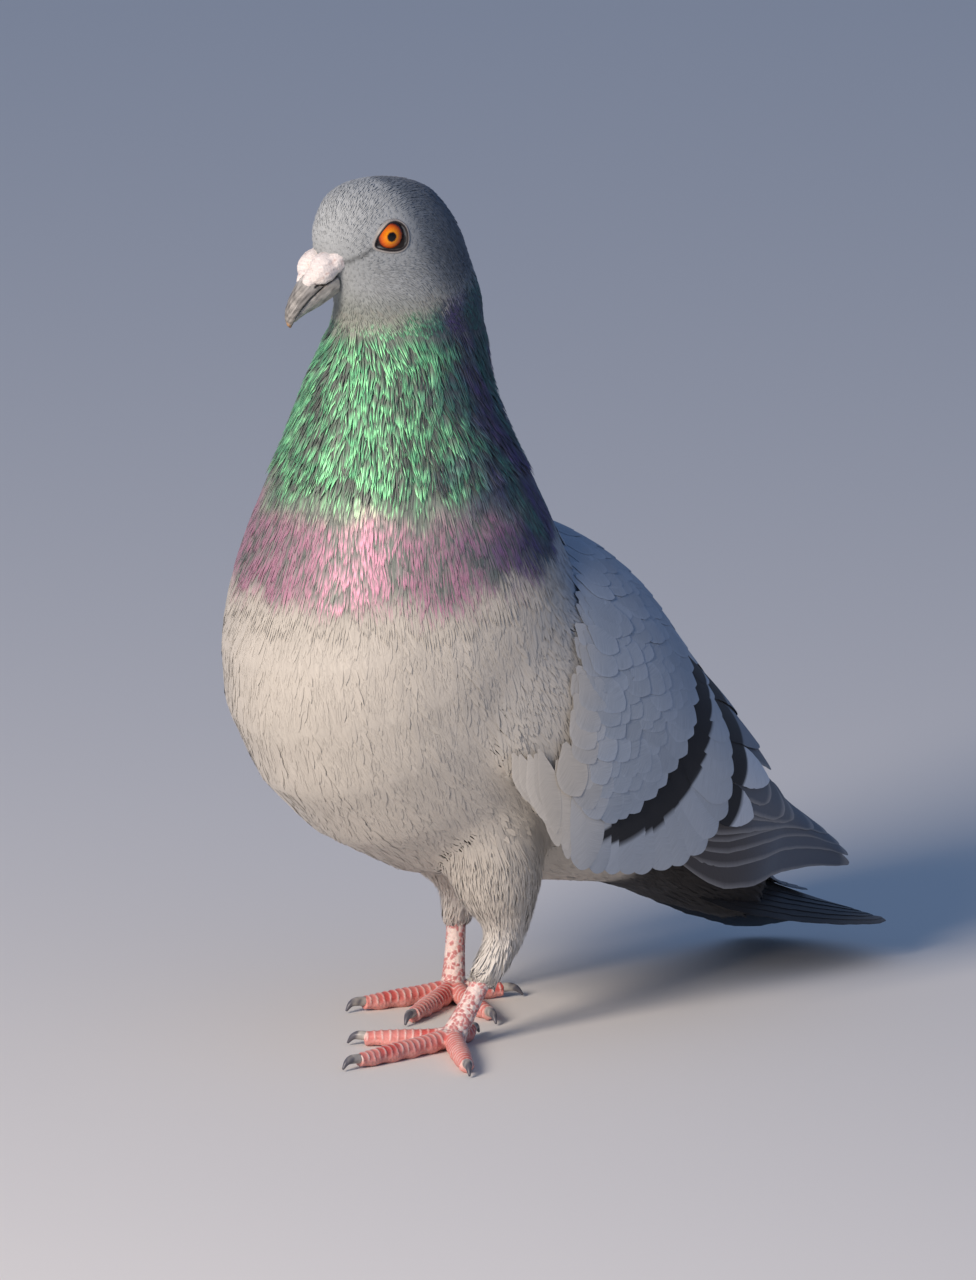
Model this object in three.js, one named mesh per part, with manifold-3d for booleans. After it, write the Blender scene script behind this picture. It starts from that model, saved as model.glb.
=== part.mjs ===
// A feral rock pigeon standing alert: a still, life-size model of the whole bird.
// Millimetres, +Z up. The bill points along -Y and the left wing is on +X.
// Every form is a loft of named sections; manifold-3d only cuts and joins them.
import * as THREE from "three";
import { LoftGeometry } from "three/addons/geometries/LoftGeometry.js";
import { mergeVertices } from "three/addons/utils/BufferGeometryUtils.js";
import Module from "manifold-3d";

// ---- Driving dimensions ----
const GAP = 0.3; // thin cut between neighbouring pieces
const DEGREE = Math.PI / 180;
const LEFT = 1;
const RIGHT = -1;

// Body: sections from the tail root to the crown, along a spine in the plane of symmetry.
// y, z place the spine and lean tips the section forward from level, in degrees; half is the
// half width; back and front are the depths each side of the spine.
const BODY_STATIONS = [
  { name: "tail_root", y: 113, z: 17, lean: 66, half: 11, back: 3, front: 7 },
  { name: "vent", y: 84, z: 34, lean: 62, half: 22, back: 12, front: 14 },
  { name: "rump", y: 57, z: 54, lean: 56, half: 32, back: 27, front: 25 },
  { name: "belly", y: 32, z: 71, lean: 50, half: 40.5, back: 39, front: 42 },
  { name: "flank", y: 9, z: 88, lean: 42, half: 46, back: 45, front: 58.5 },
  { name: "keel", y: -10, z: 106, lean: 30, half: 49, back: 45, front: 66.5 },
  { name: "breast", y: -21, z: 123, lean: 19, half: 50, back: 42, front: 62 },
  { name: "crop", y: -25, z: 140, lean: 10, half: 46, back: 40, front: 49 },
  { name: "shoulder", y: -26.5, z: 155, lean: 4, half: 39.5, back: 37, front: 38.5 },
  { name: "collar", y: -27, z: 170, lean: 1, half: 31.5, back: 32, front: 32 },
  { name: "neck", y: -27, z: 184, lean: 0, half: 25.5, back: 27.5, front: 27.5 },
  { name: "throat", y: -25, z: 197, lean: 0, half: 20.5, back: 24, front: 23 },
  { name: "chin", y: -24, z: 208, lean: 0, half: 16.5, back: 22.5, front: 21.5 },
  { name: "cheek", y: -27, z: 217, lean: 0, half: 14.5, back: 22.5, front: 23 },
  { name: "eye_line", y: -30.5, z: 226, lean: 0, half: 13, back: 23, front: 23.8 },
  { name: "brow", y: -32.5, z: 233.5, lean: 0, half: 11.8, back: 20.5, front: 20.5 },
  { name: "crown", y: -34, z: 240.5, lean: 0, half: 8.6, back: 14.5, front: 14 },
  { name: "poll", y: -35, z: 243.2, lean: 0, half: 2, back: 4, front: 4 },
];
const BODY_RINGS = 27;
const BODY_SIDES = 22;
const NECK_TOP_Z = 203; // the cut between neck and head
const NECK_BASE = { y: -24, z: 157, tilt: -14 }; // the cut between trunk and neck

// The head turns a little on the neck, towards the bird's right.
const HEAD_TURN = -10 * DEGREE;
const NECK_AXIS_Y = -25;
const TURN_FROM_Z = 160;
const TURN_TO_Z = 215;

// Bill and cere, in a frame at the gape with its own pitch.
const GAPE = { y: -45.8, z: 220.8 };
const BILL_PITCH = 41.4 * DEGREE;
// Each half runs from its base, at the mouth line, to its crest; heights are above that line.
const UPPER_BILL = [
  { along: -3, half: 6.2, crest: 6.2, base: 0.2 },
  { along: 4, half: 5.3, crest: 6.6, base: 0.5 },
  { along: 10, half: 4.2, crest: 6.3, base: 1.3 },
  { along: 15, half: 3.4, crest: 5.4, base: 1.5 },
  { along: 19.5, half: 2.7, crest: 3.9, base: 0.9 },
  { along: 22.5, half: 1.8, crest: 2.2, base: -0.3 },
  { along: 23.9, half: 0.6, crest: -0.1, base: -1.4 },
];
const LOWER_BILL = [
  { along: -3, half: 5.8, crest: -5.2, base: -0.15 },
  { along: 4, half: 5.1, crest: -5.5, base: 0.15 },
  { along: 10, half: 4.0, crest: -5.0, base: 0.95 },
  { along: 15, half: 2.9, crest: -3.4, base: 1.1 },
  { along: 19, half: 2.0, crest: -1.8, base: 0.5 },
  { along: 21.8, half: 1.0, crest: -1.4, base: -0.35 },
];
const BILL_BULGE = 0.1; // how far each half's flat side is from flat
const CERE = { along: 5.8, above: 4.3, side: 3.1, length: 5.0, height: 4.1, width: 3.7 };

// Eyes
const EYE = { y: -36.3, z: 229, depth: 7.8, radius: 5.8 };
const SOCKET_RADIUS = EYE.radius + GAP;

// Wings: sections square to a line that slopes down to the tail. side is the height of the widest
// line above that slope, half its distance from the middle; rise and drop are the curve's
// heights over and under it, between the angles top and low from straight up.
const WING_SLOPE = 27.4 * DEGREE;
const WING_STATIONS = [
  { along: -78, side: 94, half: 47.5, rise: 24, drop: 40, top: 58, low: 110, thick: 1.5 },
  { along: -68, side: 91, half: 51, rise: 38, drop: 68, top: 30, low: 115, thick: 5 },
  { along: -47, side: 88, half: 53, rise: 47, drop: 86, top: 12, low: 116, thick: 7.5 },
  { along: -22, side: 88, half: 53, rise: 45, drop: 90, top: 7, low: 117, thick: 8 },
  { along: 4, side: 86, half: 49.5, rise: 36, drop: 70, top: 5, low: 116, thick: 7 },
  { along: 30, side: 84, half: 43, rise: 29, drop: 50, top: 5, low: 113, thick: 5 },
  { along: 54, side: 84, half: 34, rise: 19, drop: 36, top: 8, low: 106, thick: 3 },
  { along: 66, side: 85, half: 28, rise: 13, drop: 28, top: 24, low: 94, thick: 1.5 },
];
const WING_RINGS = 17;
const WING_SIDES = 12;

// Primaries: a stack of long feathers under the wing, each reaching further than the last.
// first and last are how far the tips reach along the wing's slope. The lines give the heights of
// the longest and the shortest feather over the slope and out their distance from the middle,
// at the root and at the last tip; tilt turns the vanes from upright, in radians.
const PRIMARIES = {
  count: 5, root: 16, first: 62, last: 102, half: 9.5, thick: 1.7, end: 0.3,
  longest: { root: 61, tip: 84 }, shortest: { root: 90, tip: 92 }, out: { root: 38, tip: 13 },
  bend: 1.2, tilt: { root: 0.15, tip: 0.85 }, layer: 2,
};

// Tail: overlapping feathers in a narrow fan.
const TAIL = {
  count: 6, rootY: 64, rootZ: 39, length: 83, slope: 19 * DEGREE, rounding: 0.06,
  fan: 10.5 * DEGREE, half: 9.5, thick: 1.4, step: 0.6, rootSpread: 16, arch: 3, end: 0.7,
};

// Legs: the feathered thigh and the bare shank, then four toes with claws.
const LEGS = [
  {
    side: LEFT, name: "left", foot: { x: 23, y: -28 }, ankle: { x: 23, y: -8, z: 30 },
    knee: { x: 21, y: -13, z: 66 }, cuff: 0.5,
    toes: [
      { name: "hallux", turn: -155, length: 14, claw: 6.5 },
      { name: "inner", turn: -50, length: 24, claw: 6.5 },
      { name: "middle", turn: 2, length: 32, claw: 7 },
      { name: "outer", turn: 60, length: 25, claw: 6.5 },
    ],
  },
  {
    side: RIGHT, name: "right", foot: { x: -23, y: 15 }, ankle: { x: -23, y: 17, z: 33 },
    knee: { x: -19, y: 2, z: 66 }, cuff: 0.4,
    toes: [
      { name: "hallux", turn: 145, length: 14, claw: 6.5 },
      { name: "inner", turn: 75, length: 25, claw: 6.5 },
      { name: "middle", turn: 27, length: 31, claw: 7 },
      { name: "outer", turn: -11, length: 28, claw: 6.5 },
    ],
  },
];
const THIGH_RADII = { knee: 18, calf: 13, ankle: 6.2, cuff: 4.2 };
const SHANK_RADIUS = 3.0;
const TOE_RADIUS = 2.7;
const TOE_LIFT = 2.3; // the axis is under one radius up, so that the sole is flat on the floor
const CLAW_RADIUS = 1.5;
const FOOT_BALL_RADIUS = 4.2;

const COLOURS = {
  slate: 0x7d8489, iridescent: 0x4f7a60, pale: 0xb9b4ab, wing: 0xa9aeb5, dark: 0x4a4c52,
  bill: 0x5a5754, cere: 0xe9e4dc, eye: 0xd97716, leg: 0xc86a66, claw: 0x3b3a3c,
};

// ---- Helpers ----
const wasm = await Module();
wasm.setup();

/** A closed geometry as a manifold-3d solid. */
function solidOf(geometry) {
  const bare = new THREE.BufferGeometry().copy(geometry);
  bare.deleteAttribute("normal");
  bare.deleteAttribute("uv");
  const merged = mergeVertices(bare, 1e-4);
  return new wasm.Manifold(
    new wasm.Mesh({
      numProp: 3,
      vertProperties: merged.attributes.position.array,
      triVerts: new Uint32Array(merged.index.array),
    }),
  );
}

/** A manifold-3d solid as a three.js geometry. */
function geometryOf(solid) {
  const mesh = solid.getMesh();
  const positions = new Float32Array(mesh.numVert * 3);
  for (let i = 0; i < mesh.numVert; i++) {
    positions.set(mesh.vertProperties.subarray(i * mesh.numProp, i * mesh.numProp + 3), i * 3);
  }
  const geometry = new THREE.BufferGeometry()
    .setAttribute("position", new THREE.BufferAttribute(positions, 3))
    .setIndex(new THREE.BufferAttribute(mesh.triVerts, 1));
  geometry.computeVertexNormals();
  return geometry;
}

/** The middle of a ring of points. */
function centreOf(ring) {
  return ring.reduce((sum, point) => sum.add(point), new THREE.Vector3()).divideScalar(ring.length);
}

/** A capped loft through the sections, with its rings turned so that it faces outwards. */
function loft(sections) {
  const middle = Math.floor(sections.length / 2);
  const ring = sections[middle];
  const centre = centreOf(ring);
  const ahead = centreOf(sections[Math.min(middle + 1, sections.length - 1)])
    .sub(centreOf(sections[middle - 1]));
  const winding = new THREE.Vector3();
  ring.forEach((point, i) => {
    const next = ring[(i + 1) % ring.length];
    winding.add(point.clone().sub(centre).cross(next.clone().sub(centre)));
  });
  const facing = winding.dot(ahead) > 0 ? sections : sections.map((one) => one.slice().reverse());
  return solidOf(new LoftGeometry(facing, { capStart: true, capEnd: true }));
}

/** A smooth function of 0..1 through the named value of each station. */
function smoothValue(stations, key) {
  const points = stations.map((station) => new THREE.Vector3(station[key], 0, 0));
  const curve = new THREE.CatmullRomCurve3(points, false, "catmullrom", 0.5);
  return (t) => curve.getPoint(t).x;
}

/** All the named values of the stations at once, as smooth functions. */
function smoothValues(stations, keys) {
  return Object.fromEntries(keys.map((key) => [key, smoothValue(stations, key)]));
}

/** The biggest piece of a solid that a cut has left in crumbs. */
function largest(solid) {
  return solid.decompose().sort((a, b) => b.volume() - a.volume())[0];
}

/** A big slab that fills the side of a plane towards its normal, to cut with. */
function halfSpace(point, normal, shift) {
  const size = 400;
  const box = new THREE.BoxGeometry(size, size, size);
  box.translate(0, 0, size / 2);
  const turn = new THREE.Quaternion().setFromUnitVectors(new THREE.Vector3(0, 0, 1), normal);
  const place = point.clone().addScaledVector(normal, shift);
  box.applyMatrix4(new THREE.Matrix4().compose(place, turn, new THREE.Vector3(1, 1, 1)));
  return solidOf(box);
}

/** Turns a point of the neck or head about the neck's axis. */
function turned(point) {
  const share = THREE.MathUtils.smoothstep(point.z, TURN_FROM_Z, TURN_TO_Z);
  const angle = HEAD_TURN * share;
  const y = point.y - NECK_AXIS_Y;
  return new THREE.Vector3(
    point.x * Math.cos(angle) - y * Math.sin(angle),
    point.x * Math.sin(angle) + y * Math.cos(angle) + NECK_AXIS_Y,
    point.z,
  );
}

// ---- Body ----
/** The trunk, neck and head as one smooth form, grown by an offset. */
function body(offset = 0) {
  const at = smoothValues(BODY_STATIONS, ["y", "z", "lean", "half", "back", "front"]);
  const sections = [];
  for (let i = 0; i <= BODY_RINGS; i++) {
    const t = i / BODY_RINGS;
    const lean = at.lean(t) * DEGREE;
    const ring = [];
    for (let k = 0; k < BODY_SIDES; k++) {
      const angle = (k / BODY_SIDES) * 2 * Math.PI;
      const extent = Math.cos(angle) > 0 ? at.back(t) : at.front(t);
      const depth = (extent + offset) * Math.cos(angle);
      const across = (at.half(t) + offset) * Math.sin(angle);
      const point = new THREE.Vector3(
        across,
        at.y(t) + depth * Math.cos(lean),
        at.z(t) + depth * Math.sin(lean),
      );
      ring.push(turned(point));
    }
    sections.push(ring);
  }
  return loft(sections);
}

// ---- Bill, cere and eyes ----
/** A point in the bill's frame: along the mouth line, above it and to the side. */
function billPoint(along, above, side) {
  const cos = Math.cos(BILL_PITCH);
  const sin = Math.sin(BILL_PITCH);
  return turned(new THREE.Vector3(
    side,
    GAPE.y - along * cos - above * sin,
    GAPE.z - along * sin + above * cos,
  ));
}

/** One half of the bill: a half-round loft on the mouth line, grown by an offset. */
function mandible(stations, offset = 0) {
  const at = smoothValues(stations, ["along", "half", "crest", "base"]);
  const rings = 8;
  const sides = 12;
  const sections = [];
  for (let i = 0; i <= rings; i++) {
    const t = i / rings;
    const away = Math.sign(at.crest(t) - at.base(t));
    const base = at.base(t) - away * offset;
    const rise = at.crest(t) + away * offset - base;
    const ring = [];
    for (let k = 0; k < sides; k++) {
      const angle = (k / sides) * 2 * Math.PI;
      const sine = Math.sin(angle);
      const height = sine > 0 ? rise * sine : away * BILL_BULGE * sine;
      ring.push(billPoint(at.along(t), base + height, (at.half(t) + offset) * Math.cos(angle)));
    }
    sections.push(ring);
  }
  return loft(sections);
}

/** An ellipsoid in the bill's frame. */
function billLump(along, above, side, length, height, width) {
  const sphere = new THREE.SphereGeometry(1, 10, 7);
  const position = sphere.attributes.position;
  for (let i = 0; i < position.count; i++) {
    const point = billPoint(
      along - position.getY(i) * length,
      above + position.getZ(i) * height,
      side + position.getX(i) * width,
    );
    position.setXYZ(i, point.x, point.y, point.z);
  }
  return solidOf(sphere);
}

/** The two soft lobes over the nostrils. */
function cere(offset = 0) {
  const lobe = (side) => billLump(
    CERE.along, CERE.above, side * CERE.side,
    CERE.length + offset, CERE.height + offset, CERE.width + offset,
  );
  return lobe(LEFT).add(lobe(RIGHT));
}

/** A ball at an eye's place. */
function eyeBall(side, radius) {
  const centre = turned(new THREE.Vector3(side * EYE.depth, EYE.y, EYE.z));
  const ball = new THREE.SphereGeometry(radius, 12, 8);
  ball.translate(centre.x, centre.y, centre.z);
  return solidOf(ball);
}

// ---- Wings ----
/** A point on a wing's surface, from its place along the slope and its angle from straight up. */
function wingPoint(at, t, angle, lift, side) {
  const radius = Math.cos(angle) > 0 ? at.rise(t) : at.drop(t);
  const height = at.side(t) + (radius + lift) * Math.cos(angle);
  const along = at.along(t);
  return new THREE.Vector3(
    side * (at.half(t) + lift) * Math.sin(angle),
    along * Math.cos(WING_SLOPE) + height * Math.sin(WING_SLOPE),
    -along * Math.sin(WING_SLOPE) + height * Math.cos(WING_SLOPE),
  );
}

/** A folded wing's coverts and secondaries: a lens-shaped shell round the body's side. */
function wing(side, offset = 0) {
  const at = smoothValues(WING_STATIONS, ["along", "side", "half", "rise", "drop", "top", "low", "thick"]);
  const sections = [];
  for (let i = 0; i <= WING_RINGS; i++) {
    const t = i / WING_RINGS;
    const middle = ((at.low(t) + at.top(t)) / 2) * DEGREE;
    const spread = ((at.low(t) - at.top(t)) / 2) * DEGREE;
    const ring = [];
    for (let k = 0; k < WING_SIDES; k++) {
      const around = (k / WING_SIDES) * 2 * Math.PI;
      const grown = spread + offset / at.half(t);
      const lift = (at.thick(t) / 2 + offset) * Math.sin(around) - at.thick(t) / 2;
      ring.push(wingPoint(at, t, middle + grown * Math.cos(around), lift, side));
    }
    sections.push(ring);
  }
  return loft(sections);
}

/** One flat feather along a path of points, with its widths and the surface normals. */
function blade(path, halves, normals, thick) {
  const sections = path.map((point, i) => {
    const ahead = path[Math.min(i + 1, path.length - 1)].clone().sub(path[Math.max(i - 1, 0)]);
    const across = new THREE.Vector3().crossVectors(normals[i], ahead).normalize();
    const corner = (u, v) => point.clone()
      .addScaledVector(across, u * halves[i])
      .addScaledVector(normals[i], (v * thick) / 2);
    return [
      corner(1, 0), corner(0.6, 0.9), corner(-0.6, 0.9),
      corner(-1, 0), corner(-0.6, -0.9), corner(0.6, -0.9),
    ];
  });
  return loft(sections);
}

/** How a feather's width goes from its root to its rounded tip, which ends at a share of it. */
function vaneWidth(t, end) {
  const tipFrom = 0.8;
  const root = THREE.MathUtils.smoothstep(t, -0.2, 0.35);
  if (t < tipFrom) return root;
  const into = (t - tipFrom) / (1 - tipFrom);
  return root * Math.sqrt(1 - into * into * (1 - end * end));
}

/** A named span's value at a share of the way from its root to its tip. */
function spanAt(span, share) {
  return THREE.MathUtils.lerp(span.root, span.tip, share);
}

/** The folded primaries of one wing, joined into one stack. */
function primaries(side, offset = 0) {
  const steps = 4;
  let stack = null;
  for (let feather = 0; feather < PRIMARIES.count; feather++) {
    const share = feather / (PRIMARIES.count - 1);
    const tip = THREE.MathUtils.lerp(PRIMARIES.first, PRIMARIES.last, share);
    const path = [];
    const halves = [];
    const normals = [];
    for (let i = 0; i <= steps; i++) {
      const t = i / steps;
      const along = THREE.MathUtils.lerp(PRIMARIES.root, tip, t);
      const reach = (along - PRIMARIES.root) / (PRIMARIES.last - PRIMARIES.root);
      const bent = Math.pow(reach, PRIMARIES.bend);
      const low = spanAt(PRIMARIES.longest, bent);
      const height = THREE.MathUtils.lerp(spanAt(PRIMARIES.shortest, reach), low, share);
      const tilt = spanAt(PRIMARIES.tilt, reach);
      const out = spanAt(PRIMARIES.out, bent);
      path.push(new THREE.Vector3(
        side * (out + share * PRIMARIES.layer),
        along * Math.cos(WING_SLOPE) + height * Math.sin(WING_SLOPE),
        -along * Math.sin(WING_SLOPE) + height * Math.cos(WING_SLOPE),
      ));
      halves.push(PRIMARIES.half * vaneWidth(t, PRIMARIES.end) + offset);
      normals.push(new THREE.Vector3(
        side * Math.cos(tilt),
        Math.sin(tilt) * Math.sin(WING_SLOPE),
        Math.sin(tilt) * Math.cos(WING_SLOPE),
      ));
    }
    const made = blade(path, halves, normals, PRIMARIES.thick + 2 * offset);
    stack = stack ? stack.add(made) : made;
  }
  return stack;
}

// ---- Tail ----
/** The tail feathers, laid over each other from the sides to the middle and joined. */
function tail(offset = 0) {
  const steps = 5;
  let fan = null;
  for (let feather = 0; feather < TAIL.count; feather++) {
    const across = (2 * feather) / (TAIL.count - 1) - 1;
    const turn = TAIL.fan * across;
    const sink = Math.abs(across) * TAIL.step * (TAIL.count / 2);
    const path = [];
    const halves = [];
    const normals = [];
    for (let i = 0; i <= steps; i++) {
      const t = i / steps;
      const run = TAIL.length * t * (1 - TAIL.rounding * across * across);
      const down = run * Math.sin(TAIL.slope) + sink + TAIL.arch * across * across * (1 - 0.4 * t);
      path.push(new THREE.Vector3(
        across * TAIL.rootSpread * 0.5 + run * Math.sin(turn),
        TAIL.rootY + run * Math.cos(TAIL.slope) * Math.cos(turn),
        TAIL.rootZ - down,
      ));
      halves.push(TAIL.half * vaneWidth(t, TAIL.end) + offset);
      normals.push(new THREE.Vector3(across * 0.18, Math.sin(TAIL.slope), Math.cos(TAIL.slope)).normalize());
    }
    const made = blade(path, halves, normals, TAIL.thick + 2 * offset);
    fan = fan ? fan.add(made) : made;
  }
  return fan;
}

// ---- Legs ----
/** A round tube of varying radius along a smooth path. */
function limb(points, radii, rings, sides) {
  const curve = new THREE.CatmullRomCurve3(points, false, "catmullrom", 0.5);
  const radius = smoothValue(radii.map((value) => ({ value })), "value");
  const sections = [];
  for (let i = 0; i <= rings; i++) {
    const t = i / rings;
    const ahead = curve.getTangent(t);
    const across = new THREE.Vector3(1, 0, 0).addScaledVector(ahead, -ahead.x).normalize();
    const over = new THREE.Vector3().crossVectors(ahead, across);
    const ring = [];
    for (let k = 0; k < sides; k++) {
      const angle = (k / sides) * 2 * Math.PI;
      ring.push(curve.getPoint(t)
        .addScaledVector(across, radius(t) * Math.cos(angle))
        .addScaledVector(over, radius(t) * Math.sin(angle)));
    }
    sections.push(ring);
  }
  return loft(sections);
}

/** The feathered part of a leg, from inside the belly to the cuff below the ankle. */
function thigh(leg, offset = 0) {
  const knee = new THREE.Vector3(leg.knee.x, leg.knee.y, leg.knee.z);
  const ankle = new THREE.Vector3(leg.ankle.x, leg.ankle.y, leg.ankle.z);
  const foot = new THREE.Vector3(leg.foot.x, leg.foot.y, TOE_LIFT);
  const cuff = ankle.clone().lerp(foot, leg.cuff);
  const calf = knee.clone().lerp(ankle, 0.6);
  const radii = [THIGH_RADII.knee, THIGH_RADII.calf, THIGH_RADII.ankle, THIGH_RADII.cuff];
  return limb([knee, calf, ankle, cuff], radii.map((radius) => radius + offset), 8, 12);
}

/** The bare shank, from the cuff to the foot. */
function shank(leg, offset = 0) {
  const ankle = new THREE.Vector3(leg.ankle.x, leg.ankle.y, leg.ankle.z);
  const foot = new THREE.Vector3(leg.foot.x, leg.foot.y, TOE_LIFT);
  const middle = ankle.clone().lerp(foot, 0.6);
  const radii = [1, 0.95, 1.15].map((share) => SHANK_RADIUS * share + offset);
  return limb([ankle, middle, foot], radii, 3, 10);
}

/** The direction of a toe on the floor: turn is from straight ahead towards the bird's left. */
function toeHeading(toe) {
  return new THREE.Vector3(Math.sin(toe.turn * DEGREE), -Math.cos(toe.turn * DEGREE), 0);
}

/** One toe, from the ball of the foot to the claw's root, grown by an offset. */
function toeSolid(leg, toe, offset = 0) {
  const foot = new THREE.Vector3(leg.foot.x, leg.foot.y, TOE_LIFT);
  const heading = toeHeading(toe);
  const at = (share, up) => foot.clone().addScaledVector(heading, toe.length * share)
    .add(new THREE.Vector3(0, 0, up));
  const points = [at(0, 0.6), at(0.35, 0.2), at(0.7, 0), at(1, 0)];
  const radii = [1.05, 1, 0.95, 0.72].map((share) => TOE_RADIUS * share + offset);
  return limb(points, radii, 4, 8);
}

/** One claw, curving down from the toe's end to a point just off the floor. */
function clawSolid(leg, toe) {
  const foot = new THREE.Vector3(leg.foot.x, leg.foot.y, TOE_LIFT);
  const heading = toeHeading(toe);
  const at = (run, up) => foot.clone().addScaledVector(heading, toe.length + run)
    .add(new THREE.Vector3(0, 0, up));
  const points = [at(-1.5, 0.6), at(toe.claw * 0.45, 0.8), at(toe.claw, -TOE_LIFT + 0.8)];
  return limb(points, [CLAW_RADIUS, CLAW_RADIUS * 0.85, 0.35], 3, 6);
}

/** The ball of the foot, where the toes meet. */
function footBall(leg, offset = 0) {
  const ball = new THREE.SphereGeometry(FOOT_BALL_RADIUS + offset, 10, 8);
  ball.translate(leg.foot.x, leg.foot.y, TOE_LIFT + 0.8);
  return solidOf(ball);
}

// ---- Assembly ----
const bird = new THREE.Group();

/** Adds a solid to the bird as a named mesh with its own material. */
function addPiece(name, solid, colour, roughness = 0.8) {
  const material = new THREE.MeshStandardMaterial({ color: colour, roughness, metalness: 0 });
  const mesh = new THREE.Mesh(geometryOf(largest(solid)), material);
  mesh.name = name;
  bird.add(mesh);
}

const UP = new THREE.Vector3(0, 0, 1);
const neckBasePoint = new THREE.Vector3(0, NECK_BASE.y, NECK_BASE.z);
const neckBaseTilt = NECK_BASE.tilt * DEGREE;
const neckBaseNormal = new THREE.Vector3(0, Math.sin(neckBaseTilt), Math.cos(neckBaseTilt));
const neckTopPoint = new THREE.Vector3(0, NECK_AXIS_Y, NECK_TOP_Z);

const wholeBody = body();
const aboveNeckBase = halfSpace(neckBasePoint, neckBaseNormal, GAP / 2);
const belowNeckBase = halfSpace(neckBasePoint, neckBaseNormal.clone().negate(), GAP / 2);
const aboveNeckTop = halfSpace(neckTopPoint, UP, GAP / 2);
const belowNeckTop = halfSpace(neckTopPoint, UP.clone().negate(), GAP / 2);
const floor = halfSpace(new THREE.Vector3(0, 0, 0), UP, 0);

const upperBill = mandible(UPPER_BILL);
const lowerBill = mandible(LOWER_BILL);

// Head, with sockets for the eyes, the bill and the cere.
let head = wholeBody.intersect(aboveNeckTop);
for (const side of [LEFT, RIGHT]) head = head.subtract(eyeBall(side, SOCKET_RADIUS));
addPiece("head", head, COLOURS.slate);
const grownHead = body(GAP);
addPiece("upper_bill", upperBill.subtract(grownHead).subtract(cere(GAP)), COLOURS.bill, 0.5);
addPiece("lower_bill", lowerBill.subtract(grownHead), COLOURS.bill, 0.5);
addPiece("cere", cere().subtract(grownHead).subtract(mandible(LOWER_BILL, GAP)), COLOURS.cere, 0.9);
addPiece("left_eye", eyeBall(LEFT, EYE.radius), COLOURS.eye, 0.1);
addPiece("right_eye", eyeBall(RIGHT, EYE.radius), COLOURS.eye, 0.1);
addPiece("neck", wholeBody.intersect(belowNeckTop).intersect(aboveNeckBase), COLOURS.iridescent, 0.4);

// Trunk, hollowed where the wings, the primaries and the tail lie against it.
let trunk = wholeBody.intersect(belowNeckBase).subtract(tail(GAP));
for (const side of [LEFT, RIGHT]) {
  trunk = trunk.subtract(wing(side, GAP)).subtract(primaries(side, GAP));
}
addPiece("trunk", trunk, COLOURS.pale);

const neckKeep = wholeBody.intersect(aboveNeckBase);
const grownBody = body(GAP);
for (const [side, name] of [[LEFT, "left"], [RIGHT, "right"]]) {
  addPiece(`${name}_wing`, wing(side).subtract(neckKeep), COLOURS.wing);
  addPiece(`${name}_primaries`, primaries(side).subtract(wing(side, GAP)), COLOURS.dark);
}
const tailClear = tail().subtract(primaries(LEFT, GAP)).subtract(primaries(RIGHT, GAP));
addPiece("tail", tailClear, COLOURS.dark);

for (const leg of LEGS) {
  const whole = thigh(leg);
  const side = leg.side;
  addPiece(`${leg.name}_thigh`, whole.subtract(grownBody).subtract(wing(side, GAP)), COLOURS.pale);
  const foot = shank(leg).subtract(thigh(leg, GAP)).subtract(grownBody).add(footBall(leg));
  addPiece(`${leg.name}_shank`, foot.intersect(floor), COLOURS.leg, 0.6);
  let taken = footBall(leg, GAP).add(shank(leg, GAP));
  for (const toe of leg.toes) {
    const clear = toeSolid(leg, toe).subtract(taken).intersect(floor);
    addPiece(`${leg.name}_toe_${toe.name}`, clear, COLOURS.leg, 0.6);
    const claw = clawSolid(leg, toe).subtract(toeSolid(leg, toe, GAP));
    addPiece(`${leg.name}_claw_${toe.name}`, claw, COLOURS.claw, 0.4);
    taken = taken.add(toeSolid(leg, toe, GAP));
  }
}

// The bird stands with the middle of its outline on the origin.
const outline = new THREE.Box3().setFromObject(bird);
const middle = outline.getCenter(new THREE.Vector3());
for (const mesh of bird.children) mesh.geometry.translate(-middle.x, -middle.y, -outline.min.z);

export default bird;
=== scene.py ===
"""The looks of a life-size feral pigeon that stands alert: skin, plumage, bill, eyes and feet.

Shapes are worked out in millimetres in the part's own frame (+Z up, the bill towards -Y and the
left wing on +X) and turned to metres when a mesh is made.
"""

import logging
import math
from dataclasses import dataclass
from enum import Enum
from typing import Callable, Sequence

import bmesh
import bpy
import numpy as np
from mathutils import Matrix, Vector
from mathutils.bvhtree import BVHTree
from mathutils.kdtree import KDTree

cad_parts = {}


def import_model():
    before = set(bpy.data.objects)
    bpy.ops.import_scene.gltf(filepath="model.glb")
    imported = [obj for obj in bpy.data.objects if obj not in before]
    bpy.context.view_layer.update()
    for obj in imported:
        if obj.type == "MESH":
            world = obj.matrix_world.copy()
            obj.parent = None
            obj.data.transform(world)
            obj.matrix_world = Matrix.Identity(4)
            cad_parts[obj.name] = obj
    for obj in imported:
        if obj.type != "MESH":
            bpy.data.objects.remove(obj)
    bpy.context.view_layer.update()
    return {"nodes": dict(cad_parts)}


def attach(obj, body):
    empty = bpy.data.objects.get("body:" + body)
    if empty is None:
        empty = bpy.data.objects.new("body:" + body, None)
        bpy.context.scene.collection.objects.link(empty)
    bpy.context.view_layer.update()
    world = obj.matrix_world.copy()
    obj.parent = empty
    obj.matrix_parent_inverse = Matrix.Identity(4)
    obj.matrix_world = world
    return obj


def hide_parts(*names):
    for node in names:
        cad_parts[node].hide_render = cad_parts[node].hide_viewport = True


Array = np.ndarray
MM = 0.001
LOG = logging.getLogger("pigeon")
COLOUR = "Plumage"  # colour attribute that skin and feathers share
VANE = "Vane"  # UV map across and along each feather
BAKE = "OFBake"  # UV map of tuft roots on the unwrapped skin
TUFT_PATCH = 0.003


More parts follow.
